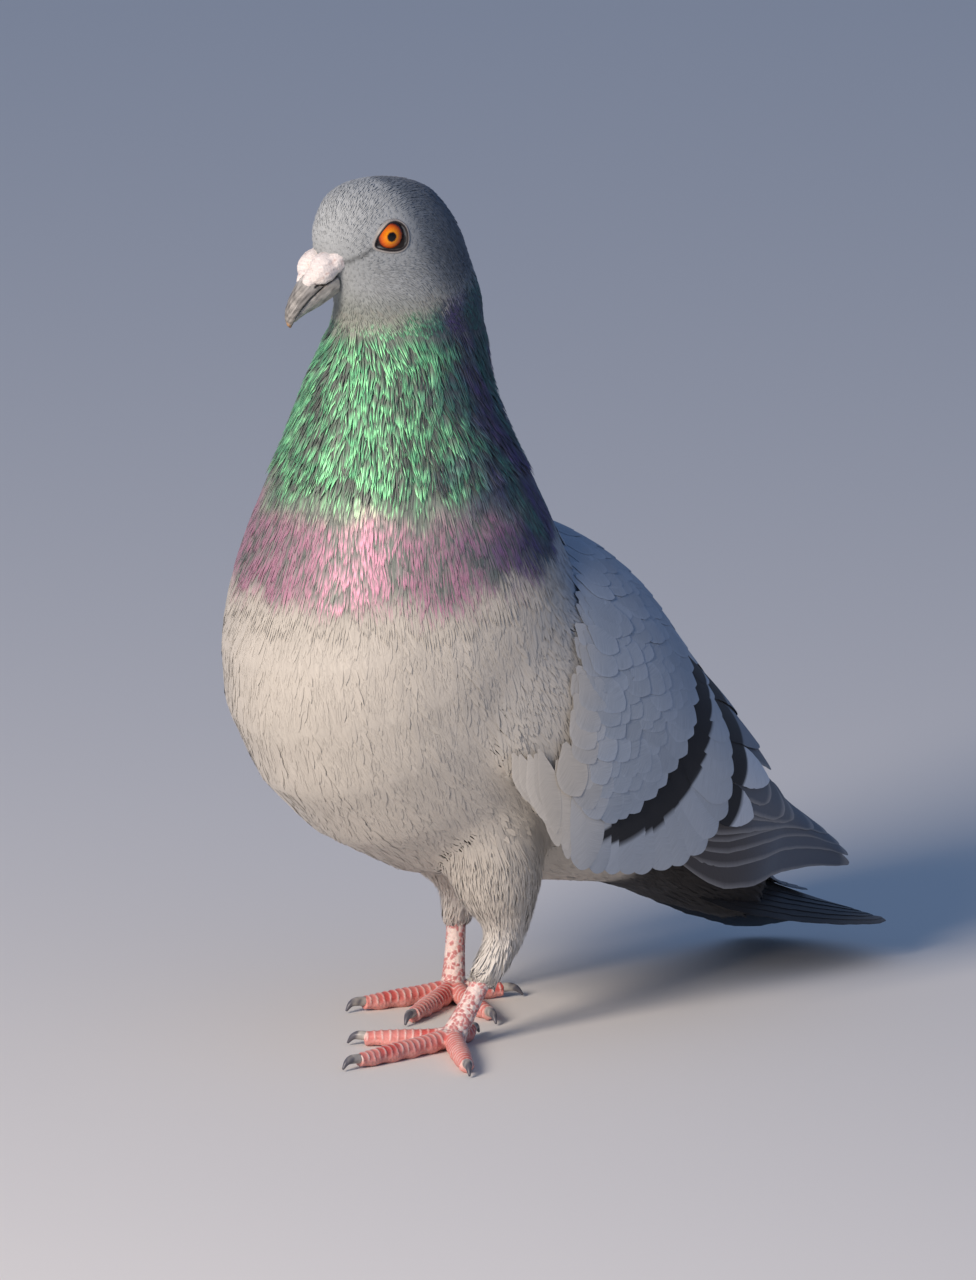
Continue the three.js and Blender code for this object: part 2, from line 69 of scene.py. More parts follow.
class Side(Enum):
    """The bird's left and right, as the sign of X."""

    LEFT = 1
    RIGHT = -1

    @property
    def label(self) -> str:
        """The side's name in lower case."""
        return self.name.lower()


# ---- Small tools ----
def linear(code: str) -> Array:
    """Turns an sRGB hex colour into linear red, green and blue.

    Args:
        code: Six hex digits after a #.

    Returns:
        Three linear values.
    """
    value = np.array([int(code[i : i + 2], 16) for i in (1, 3, 5)], float) / 255
    return np.where(value <= 0.04045, value / 12.92, ((value + 0.055) / 1.055) ** 2.4)


def opaque(code: str) -> tuple[float, float, float, float]:
    """An sRGB hex colour as linear RGBA for a node's socket."""
    red, green, blue = linear(code)
    return (float(red), float(green), float(blue), 1.0)


def unit(vectors: Array) -> Array:
    """Vectors along the last axis at length one."""
    return vectors / np.maximum(np.linalg.norm(vectors, axis=-1, keepdims=True), 1e-9)


def headings(angles: Array) -> Array:
    """Unit vectors in a plane, one for each angle in radians."""
    return np.stack([np.cos(angles), np.sin(angles)], axis=1)


def laid_flat(vectors: Array, normals: Array) -> Array:
    """Directions laid into the surfaces that have these normals, at length one."""
    return unit(vectors - normals * (vectors * normals).sum(axis=1)[:, None])


def inset(shares: Array) -> Array:
    """Shares from 0 to 1 drawn in a little from the edges of a map."""
    return 0.01 + 0.98 * shares


def smoothstep(low: float, high: float, value: Array) -> Array:
    """A smooth rise from 0 at low to 1 at high."""
    share = np.clip((value - low) / (high - low), 0, 1)
    return share * share * (3 - 2 * share)


def mixed(first: Array, second: Array, share: Array) -> Array:
    """Mixes two colours, or arrays of them, by a share for each point."""
    return first + (second - first) * np.asarray(share)[..., None]


def ripple(points: Array, size: float, seed: int) -> Array:
    """A smooth wandering value from about -1 to 1, of one size of wave, for each point.

    Args:
        points: Places in millimetres.
        size: About the distance from crest to crest, in millimetres.
        seed: Which of the many such patterns.

    Returns:
        One value for each point.
    """
    random = np.random.default_rng(seed)
    total = np.zeros(len(points))
    for _ in range(6):
        wave = unit(random.normal(size=3)) * (2 * math.pi / (size * random.uniform(0.7, 1.6)))
        total += np.sin(points @ wave + random.uniform(0, 2 * math.pi))
    return total / 3.2


def off_segment(points: Array, start: Sequence[float], end: Sequence[float]) -> tuple[Array, Array]:
    """Each point's share of the way along a straight stretch, and its distance from the stretch."""
    step = np.subtract(end, start)
    gap = points - np.asarray(start)
    share = np.clip(gap @ step / (step @ step), 0, 1)
    return share, np.linalg.norm(gap - share[:, None] * step, axis=1)


def search_tree(places: Array) -> KDTree:
    """A tree that finds the nearest of some places."""
    tree = KDTree(len(places))
    for row, place in enumerate(places.tolist()):
        tree.insert(place, row)
    tree.balance()
    return tree


def linked(mesh: bpy.types.Mesh) -> bpy.types.Object:
    """Makes a smooth-shaded object of a mesh, with its name, and links it to the scene."""
    mesh.shade_smooth()
    made = bpy.data.objects.new(mesh.name, mesh)
    bpy.context.scene.collection.objects.link(made)
    return made


def from_bmesh(name: str, bm: bmesh.types.BMesh) -> bpy.types.Object:
    """Makes an object from a bmesh, which is freed."""
    mesh = bpy.data.meshes.new(name)
    bm.to_mesh(mesh)
    bm.free()
    return linked(mesh)


def make_mesh(name: str, points: Array, triangles: Array) -> bpy.types.Object:
    """Makes a smooth-shaded object from millimetre points and triangles.

    Args:
        name: The piece's name.
        points: Places, one row each.
        triangles: Rows of three point numbers.

    Returns:
        The new object, linked to the scene.
    """
    mesh = bpy.data.meshes.new(name)
    mesh.vertices.add(len(points))
    mesh.vertices.foreach_set("co", np.asarray(points * MM, np.float32).ravel())
    mesh.loops.add(triangles.size)
    mesh.loops.foreach_set("vertex_index", np.asarray(triangles, np.int32).ravel())
    mesh.polygons.add(len(triangles))
    mesh.polygons.foreach_set("loop_start", np.arange(0, triangles.size, 3, dtype=np.int32))
    mesh.update(calc_edges=True)
    return linked(mesh)


def move_points(piece: bpy.types.Object, points: Array) -> None:
    """Puts a piece's points at new places, given in millimetres."""
    piece.data.vertices.foreach_set("co", (points * MM).astype(np.float32).ravel())
    piece.data.update()


def paint(piece: bpy.types.Object, colours: Array, gloss: Array | None = None) -> None:
    """Stores a linear colour for each point of a piece, with its metallic gloss as alpha."""
    layer = piece.data.color_attributes.new(name=COLOUR, type="FLOAT_COLOR", domain="POINT")
    gloss = np.zeros(len(colours)) if gloss is None else gloss
    rgba = np.concatenate([np.clip(colours, 0, 1), np.clip(gloss, 0, 1)[:, None]], axis=1)
    layer.data.foreach_set("color", rgba.astype(np.float32).ravel())


def lay_map(piece: bpy.types.Object, name: str, places: Array) -> None:
    """Stores a UV map with one place for each point of a piece."""
    corners = np.zeros(len(piece.data.loops), np.int32)
    piece.data.loops.foreach_get("vertex_index", corners)
    layer = piece.data.uv_layers.new(name=name)
    layer.uv.foreach_set("vector", places[corners].astype(np.float32).ravel())


def mesh_arrays(piece: bpy.types.Object) -> tuple[Array, Array, Array]:
    """Reads a mesh object's points, triangles and smooth normals.

    Args:
        piece: A mesh object at the origin.

    Returns:
        Points in millimetres, rows of three point numbers, and a unit normal for each point.
    """
    mesh = piece.data
    mesh.calc_loop_triangles()
    points = np.zeros(len(mesh.vertices) * 3)
    mesh.vertices.foreach_get("co", points)
    triangles = np.zeros(len(mesh.loop_triangles) * 3, np.int32)
    mesh.loop_triangles.foreach_get("vertices", triangles)
    normals = np.zeros(len(mesh.vertices) * 3, np.float32)
    mesh.vertex_normals.foreach_get("vector", normals)
    return points.reshape(-1, 3) / MM, triangles.reshape(-1, 3), unit(normals.reshape(-1, 3).astype(float))


def keep_largest(piece: bpy.types.Object) -> None:
    """Deletes every loose bit of a mesh but the largest."""
    bm = bmesh.new()
    bm.from_mesh(piece.data)
    left = set(bm.verts)
    islands = []
    while left:
        stack = [left.pop()]
        island = list(stack)
        while stack:
            for edge in stack.pop().link_edges:
                for vertex in edge.verts:
                    if vertex in left:
                        left.discard(vertex)
                        stack.append(vertex)
                        island.append(vertex)
        islands.append(island)
    islands.sort(key=len)
    small = [vertex for island in islands[:-1] for vertex in island]
    LOG.info("loose bits left out: %d, with %d points", len(islands) - 1, len(small))
    bmesh.ops.delete(bm, geom=small, context="VERTS")
    bm.to_mesh(piece.data)
    bm.free()


def eased_normals(piece: bpy.types.Object, normals: Array, passes: int) -> Array:
    """Vertex normals averaged with their neighbours' several times, but left alone in creases."""
    edges = np.zeros(len(piece.data.edges) * 2, np.int32)
    piece.data.edges.foreach_get("vertices", edges)
    first, second = edges.reshape(-1, 2).T
    size = len(normals)
    count = 1.0 + np.bincount(first, minlength=size) + np.bincount(second, minlength=size)
    eased = normals
    for _ in range(passes):
        columns = [
            np.bincount(first, eased[second, axis], size) + np.bincount(second, eased[first, axis], size)
            for axis in range(3)
        ]
        eased = (eased + np.stack(columns, axis=1)) / count[:, None]
    eased = unit(eased)
    alike = smoothstep(0.82, 0.93, (eased * normals).sum(axis=1))
    return unit(mixed(normals, eased, alike))


def settle(piece: bpy.types.Object) -> None:
    """Applies a piece's modifiers to its mesh."""
    graph = bpy.context.evaluated_depsgraph_get()
    mesh = bpy.data.meshes.new_from_object(piece.evaluated_get(graph), depsgraph=graph)
    piece.modifiers.clear()
    piece.data = mesh


def merged_copy(
    nodes: dict[str, bpy.types.Object],
    names: Sequence[str],
    grow: float,
    cuts: dict[str, tuple[Vector, Vector]] | None = None,
) -> bmesh.types.BMesh:
    """Joins copies of CAD nodes, with their loose triangles merged and each grown a little.

    Args:
        nodes: The frame's nodes by name.
        names: Which of them to join.
        grow: How far each surface moves outwards, in metres.
        cuts: A plane's point and normal for nodes of which only the part behind it is kept.

    Returns:
        A new bmesh that holds the copies.
    """
    bm = bmesh.new()
    for name in names:
        one = bmesh.new()
        one.from_mesh(nodes[name].data)
        bmesh.ops.remove_doubles(one, verts=one.verts, dist=1e-6)
        one.normal_update()
        for vert in one.verts:
            vert.co += vert.normal * grow
        if cuts and name in cuts:
            point, normal = cuts[name]
            parts = one.verts[:] + one.edges[:] + one.faces[:]
            bmesh.ops.bisect_plane(
                one, geom=parts, dist=1e-6, plane_co=point, plane_no=normal, clear_outer=True
            )
            bmesh.ops.holes_fill(one, edges=one.edges)
        held = bpy.data.meshes.new("held")
        one.to_mesh(held)
        one.free()
        bm.from_mesh(held)
        bpy.data.meshes.remove(held)
    return bm


def remeshed(name: str, bm: bmesh.types.BMesh, voxel: float, rounds: int) -> bpy.types.Object:
    """Turns a joined shape into one even, smoothed surface.

    Args:
        name: The piece's name.
        bm: The shape, which is freed.
        voxel: The size of the new faces, in metres.
        rounds: How many times the surface is smoothed.

    Returns:
        The new object.
    """
    piece = from_bmesh(name, bm)
    voxels = piece.modifiers.new("even", "REMESH")
    voxels.mode = "VOXEL"
    voxels.voxel_size = voxel
    soften = piece.modifiers.new("soften", "SMOOTH")
    soften.factor = 0.5
    soften.iterations = rounds
    settle(piece)
    piece.data.shade_smooth()
    return piece


def ride_root(piece: bpy.types.Object, material: bpy.types.Material, slot: str) -> bpy.types.Object:
    """Dresses a piece and fixes it to the still body."""
    piece.data.materials.clear()
    piece.data.materials.append(material)
    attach(piece, "root")
    LOG.info("%s: %d triangles", piece.name, sum(len(face.vertices) - 2 for face in piece.data.polygons))
    return piece


# ---- Materials ----
def node(
    tree: bpy.types.NodeTree, kind: str, inputs: dict[str | int, object] | None = None, **settings: object
) -> bpy.types.Node:
    """Adds a node with its settings, values and links.

    Args:
        tree: The node tree.
        kind: The node's type.
        inputs: Values, or sockets to link, by input name or number.
        **settings: The node's own properties.

    Returns:
        The new node.
    """
    made = tree.nodes.new(kind)
    for key, value in settings.items():
        setattr(made, key, value)
    for key, value in (inputs or {}).items():
        if isinstance(value, bpy.types.NodeSocket):
            tree.links.new(value, made.inputs[key])
        else:
            made.inputs[key].default_value = value
    return made


def blank_material(
    name: str, values: dict[str, object]
) -> tuple[bpy.types.Material, bpy.types.NodeTree, bpy.types.Node]:
    """Starts a material: its tree holds a Principled shader with these values, joined to the output."""
    material = bpy.data.materials.new(name)
    material.use_nodes = True
    tree = material.node_tree
    tree.nodes.clear()
    shader = node(tree, "ShaderNodeBsdfPrincipled", values)
    node(tree, "ShaderNodeOutputMaterial", {"Surface": shader.outputs["BSDF"]})
    return material, tree, shader


@dataclass(frozen=True)
class Grain:
    """A fine noise on the vane map that lightens and darkens the painted colour."""

    stretch: tuple[float, float, float]
    scale: float
    detail: float
    amount: float
    roughness: float = 0.5

    def onto(self, tree: bpy.types.NodeTree, shader: bpy.types.Node) -> tuple[bpy.types.Node, bpy.types.Node]:
        """Gives a shader the painted colour with this grain.

        Args:
            tree: The material's nodes.
            shader: Its Principled shader.

        Returns:
            The nodes of the painted colour and of the noise.
        """
        colour = node(tree, "ShaderNodeAttribute", attribute_name=COLOUR)
        place = node(tree, "ShaderNodeUVMap", uv_map=VANE)
        scaled = node(tree, "ShaderNodeMapping", {"Vector": place.outputs["UV"], "Scale": self.stretch})
        settings = {"Scale": self.scale, "Detail": self.detail, "Roughness": self.roughness}
        noise = node(tree, "ShaderNodeTexNoise", {"Vector": scaled.outputs["Vector"], **settings})
        span = {1: 0.3, 2: 0.7, 3: 1 - self.amount, 4: 1 + self.amount}
        level = node(tree, "ShaderNodeMapRange", {"Value": noise.outputs["Fac"], **span})
        parts = {"Factor": 1.0, 6: colour.outputs["Color"], 7: level.outputs["Result"]}
        shade = node(tree, "ShaderNodeMix", parts, data_type="RGBA", blend_type="MULTIPLY")
        tree.links.new(shade.outputs[2], shader.inputs["Base Color"])
        return colour, noise


@dataclass(frozen=True)
class PlumageFinish:
    """Keratin barbs of body feathers: matte and soft; on the neck they shine like thin film."""

    name: str = "feather_barbs"
    roughness: float = 0.85
    gloss_roughness: float = 0.52
    metal: float = 0.4
    sheen: float = 0.12
    streak: float = 0.1

    def material(self) -> bpy.types.Material:
        """Builds the material.

        Returns:
            A material that reads the plumage colour and gloss and streaks each barb.
        """
        held = bpy.data.materials.get(self.name)
        if held:
            return held
        values = {"Specular IOR Level": 0.25, "Sheen Weight": self.sheen, "Sheen Roughness": 0.5}
        material, tree, shader = blank_material(self.name, values)
        colour, _ = Grain((3.0, 0.35, 1.0), 2.0, 2.0, self.streak).onto(tree, shader)
        ends = {"Metallic": (0.0, self.metal), "Roughness": (self.roughness, self.gloss_roughness)}
        for name, (dull, glossy) in ends.items():
            span = {"Value": colour.outputs["Alpha"], 3: dull, 4: glossy}
            tree.links.new(node(tree, "ShaderNodeMapRange", span).outputs["Result"], shader.inputs[name])
        return material


@dataclass(frozen=True)
class FloorFinish:
    """Pale matte painted board of a plain studio floor."""

    name: str = "painted_board"
    colour: str = "#dedad4"

    def material(self) -> bpy.types.Material:
        """Builds the material."""
        return blank_material(self.name, {"Base Color": opaque(self.colour), "Roughness": 0.9})[0]


# ---- The body's own coordinates ----
@dataclass(frozen=True)
class Station:
    """A section of the body: its place in the plane of symmetry and how far it tips forward."""

    y: float
    z: float
    lean: float


@dataclass(frozen=True)
class Spine:
    """The line of sections from tail to crown, by which every place on the body is told.

    A place has a level, which counts stations from the tail, and an angle round the body, which
    is 0 on the back and pi on the breast, positive on the left.
    """

    stations: tuple[Station, ...]
    neck_y: float = -56.7
    turn: float = math.radians(-10)
    turn_from: float = 160.0
    turn_to: float = 215.0

    def turned(self, points: Array, backwards: bool = False) -> Array:
        """Turns places of the neck and head about the neck, or back again."""
        share = smoothstep(self.turn_from, self.turn_to, points[:, 2])
        angle = self.turn * share * (-1 if backwards else 1)
        cos, sin = np.cos(angle), np.sin(angle)
        y = points[:, 1] - self.neck_y
        x, y = points[:, 0] * cos - y * sin, points[:, 0] * sin + y * cos + self.neck_y
        return np.stack([x, y, points[:, 2]], axis=1)

    def table(self) -> Array:
        """The stations as rows of y, z and lean in radians."""
        return np.array([(one.y, one.z, math.radians(one.lean)) for one in self.stations])

    def place(self, points: Array) -> tuple[Array, Array]:
        """Finds the level and the angle of each point.

        Args:
            points: Places in millimetres.

        Returns:
            The levels and the angles.
        """
        straight = self.turned(points, backwards=True)
        table = self.table()
        ahead = (straight[:, 1:2] - table[:, 0]) * np.sin(table[:, 2])
        ahead = ahead - (straight[:, 2:3] - table[:, 1]) * np.cos(table[:, 2])
        upper = np.clip((ahead < 0).sum(axis=1), 1, len(table) - 1)
        rows = np.arange(len(points))
        low, high = ahead[rows, upper - 1], ahead[rows, upper]
        level = upper - 1 + np.clip(low / np.minimum(low - high, -1e-9), 0, 1)
        y, z, lean = self.section(level)
        depth = (straight[:, 1] - y) * np.cos(lean) + (straight[:, 2] - z) * np.sin(lean)
        return level, np.arctan2(straight[:, 0], depth)

    def section(self, level: Array) -> tuple[Array, Array, Array]:
        """The y, z and lean, in radians, of the section at each level."""
        table = self.table()
        return tuple(np.interp(level, np.arange(len(table)), column) for column in table.T)

    def tailwards(self, level: Array) -> Array:
        """The direction along the spine towards the tail, at each level."""
        _, _, lean = self.section(level)
        return np.stack([np.zeros_like(lean), np.sin(lean), -np.cos(lean)], axis=1)


SPINE = Spine(
    stations=(
        Station(81.3, 17, 66),  # tail root
        Station(52.3, 34, 62),  # vent
        Station(25.3, 54, 56),  # rump
        Station(0.3, 71, 50),  # belly
        Station(-22.7, 88, 42),  # flank
        Station(-41.7, 106, 30),  # keel
        Station(-52.7, 123, 19),  # breast
        Station(-56.7, 140, 10),  # crop
        Station(-58.2, 155, 4),  # shoulder
        Station(-58.7, 170, 1),  # collar
        Station(-58.7, 184, 0),  # neck
        Station(-56.7, 197, 0),  # throat
        Station(-55.7, 208, 0),  # chin
        Station(-58.7, 217, 0),  # cheek
        Station(-62.2, 226, 0),  # eye line
        Station(-64.2, 233.5, 0),  # brow
        Station(-65.7, 240.5, 0),  # crown
        Station(-66.7, 243.2, 0),  # poll
    )
)


class Level:
    """Levels along the spine where the plumage changes."""

    VENT = 1.5
    BELLY = 3.4
    BREAST = 6.0
    COLLAR = 8.6
    HEAD = 11.5
    TOP = 17.0


FLANK = 1.4  # the angle round the body where the back's feathers end
# Painted shade in the eye's socket and at the lid's inner edge.
SOCKET_SHADE = "#1c1614"


@dataclass(frozen=True)
class Markings:
    """The colours of the plumage as a function of the place on the bird."""

    head: str = "#a1a5a6"
    # The nape's colour is painted shade on the back of the head, away from the light.
    nape: str = "#515c69"
    throat: str = "#898e86"
    strand: str = "#6d726c"
    green: str = "#53a678"
    # Pale green of painted glints on the neck's barb tips.
    glint_green: str = "#a4f2b0"
    pink: str = "#bf8a9e"
    purple: str = "#5a4a7c"
    teal: str = "#41766f"
    # Painted shade on the rear of the neck, away from the light.
    rear_neck_shade: str = "#4d545c"
    breast: str = "#bcb5aa"
    belly: str = "#c0b9ae"
    back: str = "#a2a7ae"
    rump: str = "#b9bbbd"
    tail_root: str = "#6b6f76"
    # Painted shade: the dark under the tail stands for the shade beneath the body.
    vent: str = "#211d1b"
    cuff: str = "#d3cdc4"
    lores: tuple[tuple[float, float], ...] = ((-73.3, 226.2), (-76.6, 224.0), (-80.6, 222.0))
    bib_edge: tuple[tuple[float, ...], ...] = ((-97, -75, -55, -24, 0), (129, 131, 134, 143.5, 152))
    green_from: float = 155.0

    def on_head(self, points: Array, ragged: Array) -> Array:
        """How much each point belongs to the head, over a line that rises to the nape."""
        top = 203.0 + 0.33 * (points[:, 1] + 77.4)
        return smoothstep(-4, 4, points[:, 2] - top + 6 * ragged)

    def bib(self, points: Array, strands: Array) -> Array:
        """How much each point belongs to the glossy neck, from 0 to 1."""
        low = np.interp(points[:, 1], *self.bib_edge) + 2.5 * ripple(points, 14, 2)
        ragged = strands - 0.5
        return smoothstep(-4, 4, points[:, 2] - low + 7 * ragged) * (1 - self.on_head(points, ragged))

    def gloss(self, points: Array, strands: Array, along: Array) -> Array:
        """How metallic the barbs are at each point."""
        return self.bib(points, strands) * (0.25 + 0.75 * smoothstep(0.15, 0.6, along))

    def body(self, points: Array, strands: Array | None = None, along: Array | None = None) -> Array:
        """The plumage colour of head, neck and body at each point.

        Args:
            points: Places in millimetres.
            strands: A random number from 0 to 1 for the barb that each point is on, if any.
            along: How far from root to tip on its barb each point is.

        Returns:
            A linear colour for each point.
        """
        level, angle = SPINE.place(points)
        front = np.abs(angle) / math.pi
        z = points[:, 2]
        strands = np.full(len(points), 0.5) if strands is None else strands
        along = np.full(len(points), 0.4) if along is None else along
        base = mixed(linear(self.belly), linear(self.breast), smoothstep(2, 5, level))
        tone = 1 + 0.035 * ripple(points, 17, 6) + 0.025 * ripple(points, 6, 7)
        base = base * tone[:, None]
        above = mixed(linear(self.rump), linear(self.back), smoothstep(1.5, 3.5, level))
        above = mixed(linear(self.tail_root), above, smoothstep(0.8, 1.9, level))
        base = mixed(base, above, smoothstep(0.46, 0.34, front))
        # Painted shade under the tail, on the body's underside at the rear.
        under = smoothstep(8, 17, points[:, 1] + 3 * ripple(points, 7, 9)) * smoothstep(0.4, 0.5, front)
        base = mixed(base, linear(self.vent), under)
        base = mixed(base, linear(self.cuff), smoothstep(38, 27, z) * smoothstep(0, -12, points[:, 1]))
        # Bib: pink below, green above, each barb grey at its root and brighter towards its tip with painted
        # glints, pale green on some barbs.
        strand = linear(self.strand)[None, :] * (0.8 + 0.4 * strands[:, None])
        # Painted glint: the colour grows brighter towards each barb's tip.
        lit = smoothstep(0.2, 0.75, along)
        facing = smoothstep(0.42, 0.66, front + 0.05 * ripple(points, 12, 8))
        vivid = smoothstep(0.25, 0.8, strands + 0.25 * ripple(points, 6, 4) + 0.15) * lit
        green = mixed(linear(self.green), linear(self.glint_green), strands**2)
        green = mixed(strand, green, vivid)
        pink = mixed(strand * 1.35, linear(self.pink), vivid)
        change = self.green_from + 3 * ripple(points, 12, 3)
        bib = mixed(pink, green, smoothstep(-6, 7, z - change + 5 * (strands - 0.5)))
        # The rear of the neck is painted in shade: dark slate, with teal and purple towards the barbs' tips.
        shade = mixed(linear(self.teal), linear(self.purple), smoothstep(-0.5, 0.5, ripple(points, 15, 5)))
        shade = mixed(linear(self.rear_neck_shade), shade, np.clip(strands * 1.2, 0, 1) * lit)
        bib = mixed(shade, bib, facing)
        base = mixed(base, bib, self.bib(points, strands))
        # Head: plain slate, with painted shade on the nape and low on the head, and darker along the lores.
        slate = mixed(linear(self.head), linear(self.nape), smoothstep(0.6, 0.3, front) * 0.85)
        slate = mixed(slate, linear(self.throat), smoothstep(216, 204, z))
        straight = SPINE.turned(points, backwards=True)
        far = np.full(len(points), 9.0)
        for first, second in zip(self.lores, self.lores[1:]):
            far = np.minimum(far, off_segment(straight[:, 1:], first, second)[1])
        slate = slate * (1 - 0.5 * smoothstep(1.2, 0.2, far))[:, None]
        # A random tone for each barb, and painted shade that darkens the head below the eye.
        slate = slate * (0.93 + 0.14 * strands - 0.17 * smoothstep(234, 221, z))[:, None]
        return mixed(base, slate, self.on_head(points, strands - 0.5))


MARKINGS = Markings()


# ---- Feathers of the body ----
@dataclass
class Barbs:
    """Many slim closed strands, joined to one mesh, each with a few cross rows.

    Attributes:
        centre: Points along each strand, (count, rows, 3).
        across: Unit vectors across each strand at each row.
        over: Unit vectors away from the skin at each row.
        half: Half widths, (count, rows), with 0 at the tip.
        shade: Smooth normals that the strand takes part of its shading from, (count, rows, 3).
        colour: A linear colour at each row.
        gloss: How metallic each row is.
        root: The unwrapped place of each strand's root, (count, 2).
    """

    centre: Array
    across: Array
    over: Array
    half: Array
    shade: Array
    colour: Array
    gloss: Array
    root: Array

    def build(self, name: str, ridge: float, softness: float) -> bpy.types.Object:
        """Makes the mesh.

        Args:
            name: The piece's name.
            ridge: How high a strand's middle is over its edges, as a share of its half width.
            softness: From 0 to 1, how much the shading follows the skin instead of the strand.

        Returns:
            The joined strands, with colours and both UV maps.
        """
        count, rows = self.half.shape
        body = rows - 1
        wide = self.half[:, :body, None]
        left = self.centre[:, :body] - self.across[:, :body] * wide
        right = self.centre[:, :body] + self.across[:, :body] * wide
        middle = self.centre[:, :body] + self.over[:, :body] * wide * ridge
        per = 3 * body + 1
        points = np.zeros((count, per, 3))
        points[:, 0:-1:3], points[:, 1:-1:3], points[:, 2:-1:3] = left, middle, right
        points[:, -1] = self.centre[:, -1]
        faces = [(0, 1, 2)]
        for row in range(body - 1):
            a, b = 3 * row, 3 * row + 3
            faces += [(a, b, b + 1), (a, b + 1, a + 1), (a + 1, b + 1, b + 2), (a + 1, b + 2, a + 2)]
            faces += [(a, a + 2, b + 2), (a, b + 2, b)]
        last, tip = 3 * (body - 1), per - 1
        faces += [(last, tip, last + 1), (last + 1, tip, last + 2), (last, last + 2, tip)]
        template = np.array(faces)
        triangles = template[None] + per * np.arange(count)[:, None, None]
        made = make_mesh(name, points.reshape(-1, 3), triangles.reshape(-1, 3))
        side = np.array([-1.0, 0.0, 1.0])
        lean = 0.8 * side[None, None, :, None] * self.across[:, :body, None]
        own = unit(self.over[:, :body, None] + lean)
        soft = unit(own * (1 - softness) + self.shade[:, :body, None] * softness)
        normals = np.zeros((count, per, 3))
        normals[:, :-1] = soft.reshape(count, -1, 3)
        normals[:, -1] = unit(self.over[:, -1] * (1 - softness) + self.shade[:, -1] * softness)
        made.data.normals_split_custom_set_from_vertices(normals.reshape(-1, 3).astype(np.float32))
        colours, gloss = (
            np.concatenate([np.repeat(values[:, :body], 3, axis=1), values[:, -1:]], axis=1)
            for values in (self.colour, self.gloss)
        )
        paint(made, colours.reshape(-1, 3), gloss.ravel())
        along = np.linspace(0, 1, rows)
        local = np.zeros((per, 2))
        local[:-1, 0] = np.tile(side * 0.5 + 0.5, body)
        local[:-1, 1] = np.repeat(along[:body], 3)
        local[-1] = (0.5, 1.0)
        offset = (np.arange(count) * 0.377) % 7.0
        vane = local[None] + np.stack([offset, offset * 0.7], axis=1)[:, None]
        lay_map(made, VANE, vane.reshape(-1, 2))
        bake = self.root[:, None] + (local[None] - 0.5) * TUFT_PATCH
        lay_map(made, BAKE, bake.reshape(-1, 2))
        return made


@dataclass
class Surface:
    """A smooth skin to grow feathers on."""

    points: Array
    triangles: Array
    normals: Array
    shades: Array

    def __post_init__(self) -> None:
        """Prepares the search tree."""
        self.tree = BVHTree.FromPolygons(self.points.tolist(), self.triangles.tolist())

    def nearest(self, places: Array) -> tuple[Array, Array, Array]:
        """The closest skin points to some places, the normals there and those for shading."""
        found = np.zeros_like(places)
        faces = np.zeros(len(places), int)
        for row, place in enumerate(places.tolist()):
            point, _, face, _ = self.tree.find_nearest(place)
            found[row] = point
            faces[row] = face
        corners = self.triangles[faces]
        return found, unit(self.normals[corners].mean(axis=1)), unit(self.shades[corners].mean(axis=1))

    def scatter(self, keep: Callable[[Array], Array], spacing: float, seed: int) -> tuple[Array, Array]:
        """Spreads evenly spaced roots over a part of the skin.

        Args:
            keep: Tells for each place whether feathers grow there.
            spacing: The least distance between roots, in millimetres.
            seed: The random seed.

        Returns:
            The roots and the normals at them.
        """
        random = np.random.default_rng(seed)
        corners = self.points[self.triangles]
        inside = keep(corners.mean(axis=1))
        corners, triangles = corners[inside], self.triangles[inside]
        crossed = np.cross(corners[:, 1] - corners[:, 0], corners[:, 2] - corners[:, 0])
        area = 0.5 * np.linalg.norm(crossed, axis=1)
        count = int(area.sum() * 4.5 / spacing**2)
        pick = random.choice(len(area), count, p=area / area.sum())
        first, second = random.random((2, count))
        over = first + second > 1
        first, second = np.where(over, 1 - first, first), np.where(over, 1 - second, second)
        weights = np.stack([1 - first - second, first, second], axis=1)
        places = (corners[pick] * weights[..., None]).sum(axis=1)
        normals = unit((self.normals[triangles[pick]] * weights[..., None]).sum(axis=1))
        tree = search_tree(places)
        free = np.ones(count, bool)
        chosen = []
        for row, place in enumerate(places.tolist()):
            if free[row]:
                chosen.append(row)
                for _, other, _ in tree.find_range(place, spacing):
                    free[other] = False
        return places[chosen], normals[chosen]


